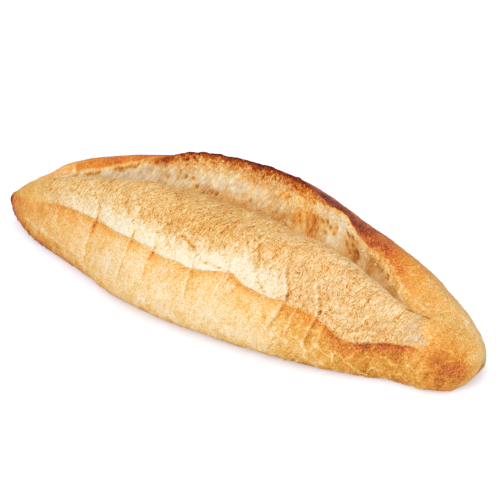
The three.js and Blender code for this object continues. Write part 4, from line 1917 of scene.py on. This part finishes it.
@dataclass
class CrumbStrands(Scatter):
    """Fine fibres that were drawn out as the dough tore, lying on the wall from lip to trough."""

    name: str = "crumb_strands"
    seed: int = 82
    count: int = 520
    sides: int = 5
    rings: int = 8
    crowd: Profile = ((-120, 1), (-60, 0.9), (20, 0.8), (28, 0.1), (40, 0))
    reach: Profile = ((-120, 8), (-60, 14), (0, 24), (60, 18), (118, 6))
    unevenness: float = 0.06
    paleness: float = 0.04
    darkest: float = 0.28
    warmth: float = 0.3
    shading: float = 0.7
    clearance: float = 3.0
    length: Pair = (3.0, 8.0)
    radius: Pair = (0.12, 0.34)
    thin_ones: float = 2.0
    lift: float = 0.3
    slant: float = 0.35
    slant_spread: float = 0.3
    sway: float = 0.5
    wall_least: float = 1.0

    def shells(self, random: np.random.Generator, ring: Array, row: Array) -> Array:
        """Thin tapered tubes that follow the wall down from their places and bow out a little.

        Args:
            random: gives lengths, thicknesses and slants.
            ring: places along the rings.
            row: places round the rings.

        Returns:
            The points, one line for each strand.
        """
        points = self.loaf.points
        wall = np.flatnonzero(self.loaf.skin.zones == Zone.WALL)
        row_step = self.loaf.skin.lip[:, wall[-1]] - self.loaf.skin.lip[:, wall[0]]
        row_step = row_step[np.clip(ring.astype(int), 0, len(row_step) - 1)]
        row_step = np.maximum(row_step, self.wall_least) / len(wall)
        ring_step = self.loaf.form.length / self.loaf.form.ring_count
        length = lerp(*self.length, random.random(self.count))
        down = np.arange(self.rings + 2) / (self.rings + 1)
        rows = np.clip(row[:, None] - (length / row_step)[:, None] * down, wall[0], wall[-1])
        lean = self.slant + self.slant_spread * random.standard_normal(self.count)
        bend = self.sway * random.standard_normal(self.count)[:, None] * np.sin(np.pi * down)
        rings = ring[:, None] - ((lean * length)[:, None] * down + bend) / ring_step
        normal = unit(self.loaf.at(self.loaf.skin.normals, rings, rows))
        path = self.loaf.at(points, rings, rows) + normal * (self.lift * np.sin(np.pi * down))[:, None]
        side = unit(np.cross(np.gradient(path, axis=1), normal))
        turn = 2 * np.pi * np.arange(self.sides) / self.sides
        thick = lerp(*self.radius, random.random(self.count) ** self.thin_ones)
        thick = thick[:, None] * np.sqrt(np.sin(np.pi * down))
        around = np.cos(turn)[:, None] * side[:, :, None] + np.sin(turn)[:, None] * normal[:, :, None]
        body = path[:, :, None] + thick[..., None, None] * around
        body = body[:, 1:-1].reshape(self.count, -1, 3)
        return np.concatenate([path[:, :1], body, path[:, -1:]], axis=1)


Colour = tuple[int, int, int]
Socket = bpy.types.NodeSocket
Outputs = bpy.types.NodeOutputs
Tree = bpy.types.NodeTree
Feed = Socket | float | tuple[float, ...]
# The bake levels that have a colour of their own.
BAKE_LEVELS = (0.0, 0.15, 0.3, 0.45, 0.6, 0.72, 0.84, 0.93, 1.0)
# What the noise node gives on average.
NOISE_MIDDLE = 0.5


def shade(colour: Colour) -> tuple[float, ...]:
    """Turns a screen colour into the linear colour that shaders use, by the usual sRGB formula.

    Args:
        colour: red, green and blue from 0 to 255.

    Returns:
        The three linear values and a full alpha.
    """
    screen = np.array(colour) / 255
    linear = np.where(screen <= 0.04045, screen / 12.92, ((screen + 0.055) / 1.055) ** 2.4)
    return (*linear.tolist(), 1.0)


@dataclass
class Sketch:
    """Adds nodes to one node tree and links them."""

    tree: Tree

    def feed(self, socket: Socket, value: Feed) -> None:
        """Links a socket into another, or sets a plain value on it.

        Args:
            socket: the input.
            value: what goes into it.
        """
        if isinstance(value, Socket):
            self.tree.links.new(value, socket)
        else:
            socket.default_value = value

    def node(self, kind: str, inputs: dict[str | int, Feed], **settings: object) -> bpy.types.Node:
        """Adds a node.

        Args:
            kind: its type.
            inputs: what goes into its inputs, by their names or numbers.
            settings: its own properties.

        Returns:
            The node.
        """
        made = self.tree.nodes.new(kind)
        for name, value in settings.items():
            setattr(made, name, value)
        for name, value in inputs.items():
            self.feed(made.inputs[name], value)
        return made

    def math(self, operation: str, *values: Feed) -> Socket:
        """The result of a Math node."""
        return self.node("ShaderNodeMath", dict(enumerate(values)), operation=operation).outputs[0]

    def vector(self, operation: str, *values: Feed) -> Socket:
        """The result of a Vector Math node."""
        return self.node("ShaderNodeVectorMath", dict(enumerate(values)), operation=operation).outputs[0]

    def noise(self, vector: Feed, scale: Feed, detail: float, twist: float = 0.0) -> Socket:
        """Cloudy noise, about 0.5 on average."""
        inputs = {"Vector": vector, "Scale": scale, "Detail": detail, "Distortion": twist}
        return self.node("ShaderNodeTexNoise", inputs, noise_dimensions="3D").outputs["Fac"]

    def cells(self, vector: Feed, scale: Feed) -> Socket:
        """Distance to the nearest of many scattered dots."""
        inputs = {"Vector": vector, "Scale": scale}
        return self.node("ShaderNodeTexVoronoi", inputs, feature="F1").outputs["Distance"]

    def ranged(self, value: Feed, low: float, high: float, to_low: float, to_high: float) -> Socket:
        """A value from one range turned softly into another."""
        inputs = {"Value": value, "From Min": low, "From Max": high, "To Min": to_low, "To Max": to_high}
        return self.node("ShaderNodeMapRange", inputs, interpolation_type="SMOOTHSTEP").outputs["Result"]

    def mixed(self, factor: Feed, first: Feed, second: Feed, blend: str = "MIX") -> Socket:
        """Two colours mixed, or the first tinted by the second."""
        inputs = {"Factor": factor, "A": first, "B": second}
        return self.node("ShaderNodeMix", inputs, data_type="RGBA", blend_type=blend).outputs["Result"]

    def ramp(self, level: Feed, colours: Sequence[Colour]) -> Socket:
        """The colour at a bake level, between those of the levels beside it.

        Args:
            level: how far it baked.
            colours: the screen colour of each bake level.

        Returns:
            The colour.
        """
        made = self.node("ShaderNodeValToRGB", {"Fac": level})
        for place in BAKE_LEVELS[1:-1]:
            made.color_ramp.elements.new(place)
        for element, colour in zip(made.color_ramp.elements, colours):
            element.color = shade(colour)
        return made.outputs["Color"]

    def layer(self, name: str) -> Socket:
        """One of the mesh's own layers."""
        return self.node("ShaderNodeAttribute", {}, attribute_name=name).outputs["Fac"]

    def group(self, tree: Tree, **inputs: Feed) -> Outputs:
        """The outputs of a node group with its inputs fed."""
        return self.node("ShaderNodeGroup", inputs, node_tree=tree).outputs


class Kind(Enum):
    """What a group's socket carries."""

    NUMBER = "NodeSocketFloat"
    VECTOR = "NodeSocketVector"
    COLOUR = "NodeSocketColor"


def start_group(name: str, inputs: dict[str, Kind], outputs: dict[str, Kind]) -> tuple[Sketch, Outputs]:
    """Begins a node group with its sockets.

    Args:
        name: the group's name.
        inputs: what each input carries.
        outputs: what each output carries.

    Returns:
        The group's sketch, and the sockets that its inputs come out of.
    """
    tree = bpy.data.node_groups.new(name, "ShaderNodeTree")
    for way, sockets in (("INPUT", inputs), ("OUTPUT", outputs)):
        for label, kind in sockets.items():
            tree.interface.new_socket(label, in_out=way, socket_type=kind.value)
    sketch = Sketch(tree)
    return sketch, sketch.node("NodeGroupInput", {}).outputs


class Dough(Enum):
    """The kinds of dough that take their own colours in the oven."""

    CRUST = "crust colour"
    BLOOM = "bloom colour"
    CRUMB = "crumb colour"


@dataclass(frozen=True)
class BakeColours:
    """Screen colours from cream to char, one for each bake level, where it is golden and where ruddy."""

    golden: tuple[Colour, ...]
    ruddy: tuple[Colour, ...]

    def group(self, dough: Dough) -> Tree:
        """Builds the group that turns a browning level into a colour, golden or ruddy.

        Args:
            dough: the kind of dough that has these colours.

        Returns:
            The group.
        """
        inputs = {"Level": Kind.NUMBER, "Ruddy": Kind.NUMBER}
        sketch, given = start_group(dough.value, inputs, {"Colour": Kind.COLOUR})
        ramps = [sketch.ramp(given["Level"], colours) for colours in (self.golden, self.ruddy)]
        sketch.node("NodeGroupOutput", {"Colour": sketch.mixed(given["Ruddy"], *ramps)})
        return sketch.tree


BAKE_COLOURS = {
    Dough.CRUST: BakeColours(
        golden=(
            (255, 243, 216), (250, 229, 187), (246, 210, 141), (240, 189, 99), (221, 155, 62),
            (200, 124, 38), (160, 80, 32), (106, 50, 32), (44, 25, 22),
        ),
        ruddy=(
            (255, 241, 218), (254, 227, 188), (251, 200, 125), (247, 172, 78), (232, 142, 56),
            (208, 106, 50), (164, 68, 46), (112, 50, 42), (44, 25, 24),
        ),
    ),
    Dough.BLOOM: BakeColours(
        golden=(
            (255, 245, 220), (253, 234, 197), (248, 215, 154), (239, 193, 116), (227, 163, 72),
            (209, 129, 46), (166, 84, 34), (108, 54, 34), (44, 25, 22),
        ),
        ruddy=(
            (255, 244, 220), (253, 231, 196), (247, 210, 152), (238, 186, 114), (226, 154, 70),
            (208, 120, 46), (166, 80, 36), (110, 52, 36), (44, 25, 22),
        ),
    ),
    Dough.CRUMB: BakeColours(
        golden=(
            (255, 247, 224), (255, 237, 190), (250, 220, 154), (242, 195, 118), (224, 162, 84),
            (200, 128, 60), (152, 84, 44), (104, 52, 36), (44, 25, 22),
        ),
        ruddy=(
            (255, 247, 224), (255, 234, 184), (253, 214, 138), (246, 186, 92), (236, 152, 60),
            (210, 106, 38), (156, 66, 36), (104, 46, 38), (44, 25, 24),
        ),
    ),
}


@dataclass(frozen=True)
class Speckle:
    """One size of unevenness in baked skin: how fine it is, its browning and its height."""

    scale: float
    detail: float
    shift: float
    height: float


@dataclass(frozen=True)
class SkinGroup:
    """Baked skin: mottling, pores, grain and pale blister specks, as a browning shift and a height."""

    name: str = "crust skin"
    mottle: Speckle = Speckle(110.0, 3.0, 0.3, 0.5)
    pores: Speckle = Speckle(480.0, 2.0, 0.3, -0.5)
    grain: Speckle = Speckle(1650.0, 1.0, 0.85, -0.35)
    even_shift: float = 0.03
    fine_scale: float = 1100.0
    fine_detail: float = 1.0
    fine_edge: Pair = (0.52, 0.66)
    dot_scale: float = 560.0
    dot_edge: Pair = (0.12, 0.36)
    patch_scale: float = 90.0
    patch_detail: float = 2.0
    patch_edge: Pair = (0.4, 0.62)
    patch_least: float = 0.25
    speck_shift: float = -0.26
    speck_height: float = 0.4

    def group(self) -> Tree:
        """Builds the group.

        Returns:
            The group.
        """
        inputs = {"Vector": Kind.VECTOR, "Specks": Kind.NUMBER}
        sketch, given = start_group(self.name, inputs, {"Shift": Kind.NUMBER, "Height": Kind.NUMBER})
        where = given["Vector"]
        fine = sketch.noise(where, self.fine_scale, self.fine_detail)
        fine = sketch.ranged(fine, *self.fine_edge, 0.0, 1.0)
        dots = sketch.ranged(sketch.cells(where, self.dot_scale), *self.dot_edge, 1.0, 0.0)
        patchy = sketch.noise(where, self.patch_scale, self.patch_detail)
        patchy = sketch.ranged(patchy, *self.patch_edge, self.patch_least, 1.0)
        specks = sketch.math("MULTIPLY", sketch.math("MAXIMUM", dots, fine), patchy)
        specks = sketch.math("MULTIPLY", specks, given["Specks"])
        shift = sketch.math("MULTIPLY_ADD", specks, self.speck_shift, self.even_shift)
        height = sketch.math("MULTIPLY", specks, self.speck_height)
        for speckle in (self.mottle, self.pores, self.grain):
            noise = sketch.noise(where, speckle.scale, speckle.detail)
            noise = sketch.math("SUBTRACT", noise, NOISE_MIDDLE)
            shift = sketch.math("MULTIPLY_ADD", noise, speckle.shift, shift)
            height = sketch.math("MULTIPLY_ADD", noise, speckle.height, height)
        sketch.node("NodeGroupOutput", {"Shift": shift, "Height": height})
        return sketch.tree


@dataclass(frozen=True)
class StrandsGroup:
    """Torn dough: short curled strands, long along the second sheet axis, and dark flecks between them.

    Each set of lines is given by how much finer it is than the first, its twist and its half width.
    """

    name: str = "strands"
    bend_scale: float = 22.0
    bend_detail: float = 2.0
    detail: float = 1.0
    wide_lines: Triple = (1.0, 1.0, 0.07)
    thin_lines: Triple = (1.9, 0.8, 0.09)
    wide_share: float = 0.6
    lines_middle: float = 0.55
    fleck_finer: float = 1.7
    fleck_twist: float = 0.5
    fleck_place: Triple = (3.1, 5.7, 0.0)
    fleck_stretch: Triple = (1.0, 0.5, 1.0)
    fleck_edge: Pair = (0.56, 0.7)

    def group(self) -> Tree:
        """Builds the group.

        Returns:
            The group.
        """
        numbers = dict.fromkeys(("Fineness", "Stretch", "Curl", "Lean"), Kind.NUMBER)
        outputs = {"Strand": Kind.NUMBER, "Fleck": Kind.NUMBER}
        sketch, given = start_group(self.name, {"Sheet": Kind.VECTOR, **numbers}, outputs)
        bend_inputs = {"Vector": given["Sheet"], "Scale": self.bend_scale, "Detail": self.bend_detail}
        bend = sketch.node("ShaderNodeTexNoise", bend_inputs, noise_dimensions="3D").outputs["Color"]
        curl_inputs = {0: bend, "Scale": given["Curl"]}
        curl = sketch.node("ShaderNodeVectorMath", curl_inputs, operation="SCALE").outputs[0]
        bent = sketch.node("ShaderNodeSeparateXYZ", {0: sketch.vector("ADD", given["Sheet"], curl)}).outputs
        lean = sketch.math("MULTIPLY", bent["Y"], given["Lean"])
        axes = {
            "X": sketch.math("SUBTRACT", bent["X"], lean),
            "Y": sketch.math("MULTIPLY", bent["Y"], given["Stretch"]),
        }
        drawn = sketch.node("ShaderNodeCombineXYZ", axes).outputs[0]

        def finer(factor: float) -> Socket:
            """The fineness of smaller marks."""
            return sketch.math("MULTIPLY", given["Fineness"], factor)

        def gap(factor: float, twist: float) -> Socket:
            """How far a noise is from its middle."""
            noise = sketch.noise(drawn, finer(factor), self.detail, twist)
            return sketch.math("ABSOLUTE", sketch.math("SUBTRACT", noise, NOISE_MIDDLE))

        def lines(factor: float, twist: float, width: float) -> Socket:
            """Lines where a noise passes through its middle."""
            return sketch.ranged(gap(factor, twist), 0.0, width, 1.0, 0.0)

        thin = sketch.math("SUBTRACT", lines(*self.thin_lines), self.lines_middle)
        strand = sketch.math("MULTIPLY_ADD", lines(*self.wide_lines), self.wide_share, thin)
        moved = sketch.vector("ADD", drawn, self.fleck_place)
        dashes = sketch.vector("MULTIPLY", moved, self.fleck_stretch)
        fleck = sketch.noise(dashes, finer(self.fleck_finer), self.detail, self.fleck_twist)
        fleck = sketch.ranged(fleck, *self.fleck_edge, 0.0, 1.0)
        sketch.node("NodeGroupOutput", {"Strand": strand, "Fleck": fleck})
        return sketch.tree


class BakeryGroups:
    """The shader groups that the loaf's finishes share, each built once."""

    def __init__(self) -> None:
        """Builds the groups."""
        self.bake = {dough: colours.group(dough) for dough, colours in BAKE_COLOURS.items()}
        self.skin = SkinGroup().group()
        self.strands = StrandsGroup().group()


@dataclass(frozen=True)
class Finish:
    """What the loaf's finishes have in common: a bumped coat over the baked colour."""

    name: str
    specular: float
    bump: float
    bump_distance: float
    dark_levels: Pair
    dark_share: float

    def looks(self, sketch: Sketch, kit: BakeryGroups) -> tuple[Socket, Socket, Socket]:
        """The finish's own colour, height and roughness."""
        raise NotImplementedError

    def calmed(self, sketch: Sketch, shift: Socket) -> Socket:
        """Adds a shift to the browning layer, less of it where the layer is dark.

        Args:
            sketch: adds the nodes.
            shift: the browning to add.

        Returns:
            The level.
        """
        browning_and_shade = sketch.layer("browning_and_shade")
        share = sketch.ranged(browning_and_shade, *self.dark_levels, 1.0, self.dark_share)
        return sketch.math("MULTIPLY_ADD", shift, share, browning_and_shade)

    def material(self, kit: BakeryGroups) -> bpy.types.Material:
        """Builds the material.

        Args:
            kit: the shared groups.

        Returns:
            The material.
        """
        made = bpy.data.materials.new(self.name)
        made.use_nodes = True
        sketch = Sketch(made.node_tree)
        colour, height, roughness = self.looks(sketch, kit)
        bump = {"Strength": self.bump, "Distance": self.bump_distance, "Height": height}
        shader = made.node_tree.nodes["Principled BSDF"]
        sketch.feed(shader.inputs["Base Color"], colour)
        sketch.feed(shader.inputs["Normal"], sketch.node("ShaderNodeBump", bump).outputs["Normal"])
        sketch.feed(shader.inputs["Roughness"], roughness)
        shader.inputs["Specular IOR Level"].default_value = self.specular
        return made


@dataclass(frozen=True)
class CrustFinish(Finish):
    """Smooth baked crust: satin, golden to amber, specked with blisters."""

    name: str = "crust"
    specular: float = 0.11
    bump: float = 0.35
    bump_distance: float = 0.0006
    dark_levels: Pair = (0.3, 0.6)
    dark_share: float = 0.7
    speck_levels: Pair = (0.15, 0.42)
    specks: Pair = (0.35, 1.0)
    heights: Pair = (-0.4, 0.5)
    roughness: Pair = (0.6, 0.44)

    def looks(self, sketch: Sketch, kit: BakeryGroups) -> tuple[Socket, Socket, Socket]:
        """Lays the baked skin over the browning layer.

        Args:
            sketch: adds the nodes.
            kit: the shared groups.

        Returns:
            Colour, height and roughness.
        """
        where = sketch.node("ShaderNodeTexCoord", {}).outputs["Object"]
        specks = sketch.ranged(sketch.layer("browning_and_shade"), *self.speck_levels, *self.specks)
        skin = sketch.group(kit.skin, Vector=where, Specks=specks)
        level = self.calmed(sketch, skin["Shift"])
        bake = sketch.group(kit.bake[Dough.CRUST], Level=level, Ruddy=sketch.layer("ruddy"))
        roughness = sketch.ranged(skin["Height"], *self.heights, *self.roughness)
        return bake["Colour"], skin["Height"], roughness


@dataclass(frozen=True)
class BloomFinish(Finish):
    """Torn dough: matte strands over the browning layer, closing into crust skin where it isn't torn."""

    name: str = "bloom"
    specular: float = 0.06
    bump: float = 0.4
    bump_distance: float = 0.0002
    dark_levels: Pair = (0.45, 0.75)
    dark_share: float = 0.5
    dough: Dough = Dough.BLOOM
    specks: float = 0.6
    fineness: float = 60.0
    stretch: float = 0.3
    grain: float = 0.5
    curl: float = 0.04
    lean: float = 0.4
    # Darker along the strands' lines, which the bump sinks: the dough's curls with painted shade in their
    # grooves.
    strand_shift: float = 0.33
    strand_height: float = -1.0
    skin_height: float = 0.4
    fleck_levels: Pair = (0.1, 0.35)
    pale_flecks: float = 0.25
    fleck_shift: float = 0.12
    whole_roughness: float = 0.52
    roughness: float = 0.85
    # The colour that the painted shade tints the colour towards.
    shade_colour: Colour = (190, 148, 112)

    def looks(self, sketch: Sketch, kit: BakeryGroups) -> tuple[Socket, Socket, Socket]:
        """Blends the strands with the crust's skin by the torn layer.

        Args:
            sketch: adds the nodes.
            kit: the shared groups.

        Returns:
            Colour, height and roughness.
        """
        torn = sketch.layer("torn")
        where = sketch.node("ShaderNodeTexCoord", {}).outputs["Object"]
        skin = sketch.group(kit.skin, Vector=where, Specks=self.specks)
        strands = sketch.group(
            kit.strands,
            Sheet=sketch.node("ShaderNodeUVMap", {}, uv_map="sheet").outputs["UV"],
            Fineness=self.fineness,
            Stretch=self.stretch,
            Curl=self.curl,
            Lean=self.lean,
        )
        flecked = sketch.ranged(sketch.layer("browning_and_shade"), *self.fleck_levels, self.pale_flecks, 1.0)
        fleck = sketch.math("MULTIPLY", strands["Fleck"], flecked)
        pulled = sketch.math("MULTIPLY", strands["Strand"], self.strand_shift)
        pulled = sketch.math("MULTIPLY_ADD", fleck, self.fleck_shift, pulled)
        whole = sketch.math("MULTIPLY", skin["Shift"], sketch.ranged(torn, 0.0, 1.0, 1.0, self.grain))
        level = self.calmed(sketch, sketch.math("MULTIPLY_ADD", pulled, torn, whole))
        fed = {"Level": level, "Ruddy": sketch.layer("ruddy")}
        doughs = (Dough.CRUST, self.dough)
        unshaded = sketch.mixed(torn, *(sketch.group(kit.bake[dough], **fed)["Colour"] for dough in doughs))
        # Painted shade: the shade layer tints the colour towards the shade colour.
        painted_shade = sketch.mixed(sketch.layer("shade"), unshaded, shade(self.shade_colour), "MULTIPLY")
        raised = sketch.math("MULTIPLY", strands["Strand"], self.strand_height)
        raised = sketch.math("MULTIPLY", raised, torn)
        height = sketch.math("MULTIPLY_ADD", skin["Height"], self.skin_height, raised)
        return painted_shade, height, sketch.ranged(torn, 0.0, 1.0, self.whole_roughness, self.roughness)


@dataclass(frozen=True)
class CrumbFinish(BloomFinish):
    """The crumb wall: torn dough with longer strands from trough to lip."""

    name: str = "crumb"
    dough: Dough = Dough.CRUMB
    fineness: float = 56.0
    stretch: float = 0.24
    lean: float = 0.0
    strand_shift: float = -0.2
    strand_height: float = 1.0
    fleck_shift: float = 0.08
    roughness: float = 0.9


@dataclass(frozen=True)
class FloorFinish:
    """Matte and almost white, with a glow that only the camera sees."""

    name: str = "floor"
    colour: tuple[float, ...] = (0.8, 0.85, 0.97, 1.0)
    roughness: float = 0.9
    glow: float = 0.38

    def material(self) -> bpy.types.Material:
        """Builds the material.

        Returns:
            The material.
        """
        made = bpy.data.materials.new(self.name)
        made.use_nodes = True
        sketch = Sketch(made.node_tree)
        seen = sketch.node("ShaderNodeLightPath", {}).outputs["Is Camera Ray"]
        shader = made.node_tree.nodes["Principled BSDF"]
        shader.inputs["Base Color"].default_value = self.colour
        shader.inputs["Roughness"].default_value = self.roughness
        sketch.feed(shader.inputs["Emission Color"], seen)
        shader.inputs["Emission Strength"].default_value = self.glow
        return made


@dataclass(frozen=True)
class Softbox:
    """A square soft light: where it hangs and its side in metres, and its light in watts."""

    name: str
    place: Triple
    size: float
    power: float

    def hang(self, aim: Triple) -> None:
        """Hangs the light so that it faces a place.

        Args:
            aim: the place.
        """
        data = bpy.data.lights.new(self.name, "AREA")
        data.shape = "SQUARE"
        data.size = self.size
        data.energy = self.power
        light = bpy.data.objects.new(self.name, data)
        light.location = self.place
        facing = Vector(aim) - Vector(self.place)
        light.rotation_euler = facing.to_track_quat("-Z", "Y").to_euler()
        bpy.context.scene.collection.objects.link(light)


@dataclass
class Studio:
    """A plain pale floor, soft light all round and the camera at the picture's angle."""

    azimuth: float = 33.5
    elevation: float = 31.2
    distance: float = 1.15
    lens: float = 147.0
    sensor: float = 36.0
    clip: Pair = (0.01, 50.0)
    aim: Triple = (0.0, -0.00479, 0.035)
    aim_right: float = 0.0097
    aim_up: float = -0.0045
    floor_size: float = 6.0
    floor_drop: float = 0.0002
    floor_finish: FloorFinish = FloorFinish()
    world_light: float = 0.55
    light_aim: Triple = (0.0, 0.0, 0.03)
    overhead: Softbox = Softbox("overhead", (0.0, 0.1, 1.6), 1.4, 6.0)
    front: Softbox = Softbox("front", (0.3, -1.15, 0.85), 1.5, 10.5)

    def camera(self) -> None:
        """Sets the camera: azimuth 0 looks along +Y, and elevation is above the floor."""
        turn, tilt = math.radians(self.azimuth), math.radians(self.elevation)
        back = Vector((math.sin(turn) * math.cos(tilt), -math.cos(turn) * math.cos(tilt), math.sin(tilt)))
        right = Vector((math.cos(turn), math.sin(turn), 0.0))
        up = back.cross(right)
        place = Vector(self.aim) + right * self.aim_right + up * self.aim_up + back * self.distance
        data = bpy.data.cameras.new("camera")
        data.lens = self.lens
        data.sensor_width = self.sensor
        data.clip_start, data.clip_end = self.clip
        camera = bpy.data.objects.new("camera", data)
        camera.matrix_world = Matrix.Translation(place) @ Matrix((right, up, back)).transposed().to_4x4()
        bpy.context.scene.collection.objects.link(camera)
        bpy.context.scene.camera = camera

    def floor(self) -> None:
        """Lays a wide matte floor just under the loaf."""
        half = self.floor_size / 2
        corners = [(x * half, y * half, -self.floor_drop) for x, y in ((-1, -1), (1, -1), (1, 1), (-1, 1))]
        mesh = bpy.data.meshes.new("floor")
        mesh.from_pydata(corners, [], [(0, 1, 2, 3)])
        floor = bpy.data.objects.new("floor", mesh)
        bpy.context.scene.collection.objects.link(floor)
        mesh.materials.append(self.floor_finish.material())

    def light(self) -> None:
        """Sets an even white surround, a broad light overhead and a softer one in front."""
        world = bpy.data.worlds.new("studio")
        world.use_nodes = True
        surround = world.node_tree.nodes["Background"]
        surround.inputs["Color"].default_value = (1.0, 1.0, 1.0, 1.0)
        surround.inputs["Strength"].default_value = self.world_light
        bpy.context.scene.world = world
        for softbox in (self.overhead, self.front):
            softbox.hang(self.light_aim)
        bpy.context.scene.view_settings.view_transform = "Standard"


def main() -> None:
    """Builds the loaf and the studio round it."""
    logging.basicConfig(level=logging.INFO, format="%(name)s: %(message)s")
    low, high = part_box("loaf")
    loaf = Loaf(LoafForm(length=(high.x - low.x) / MM))
    kit = BakeryGroups()
    finishes = [finish.material(kit) for finish in (CrustFinish(), BloomFinish(), CrumbFinish())]
    for part in (loaf, CrumbGrains(loaf), CrumbStrands(loaf)):
        piece = part.build()
        part.dress(piece, finishes)
        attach(piece, "root")
        if part is loaf:
            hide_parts("loaf")
        LOG.info("%s: %d faces", piece.name, len(piece.data.polygons))
    studio = Studio()
    studio.floor()
    studio.light()
    studio.camera()
    LOG.info("studio ready")


if __name__ == "__main__":
    main()
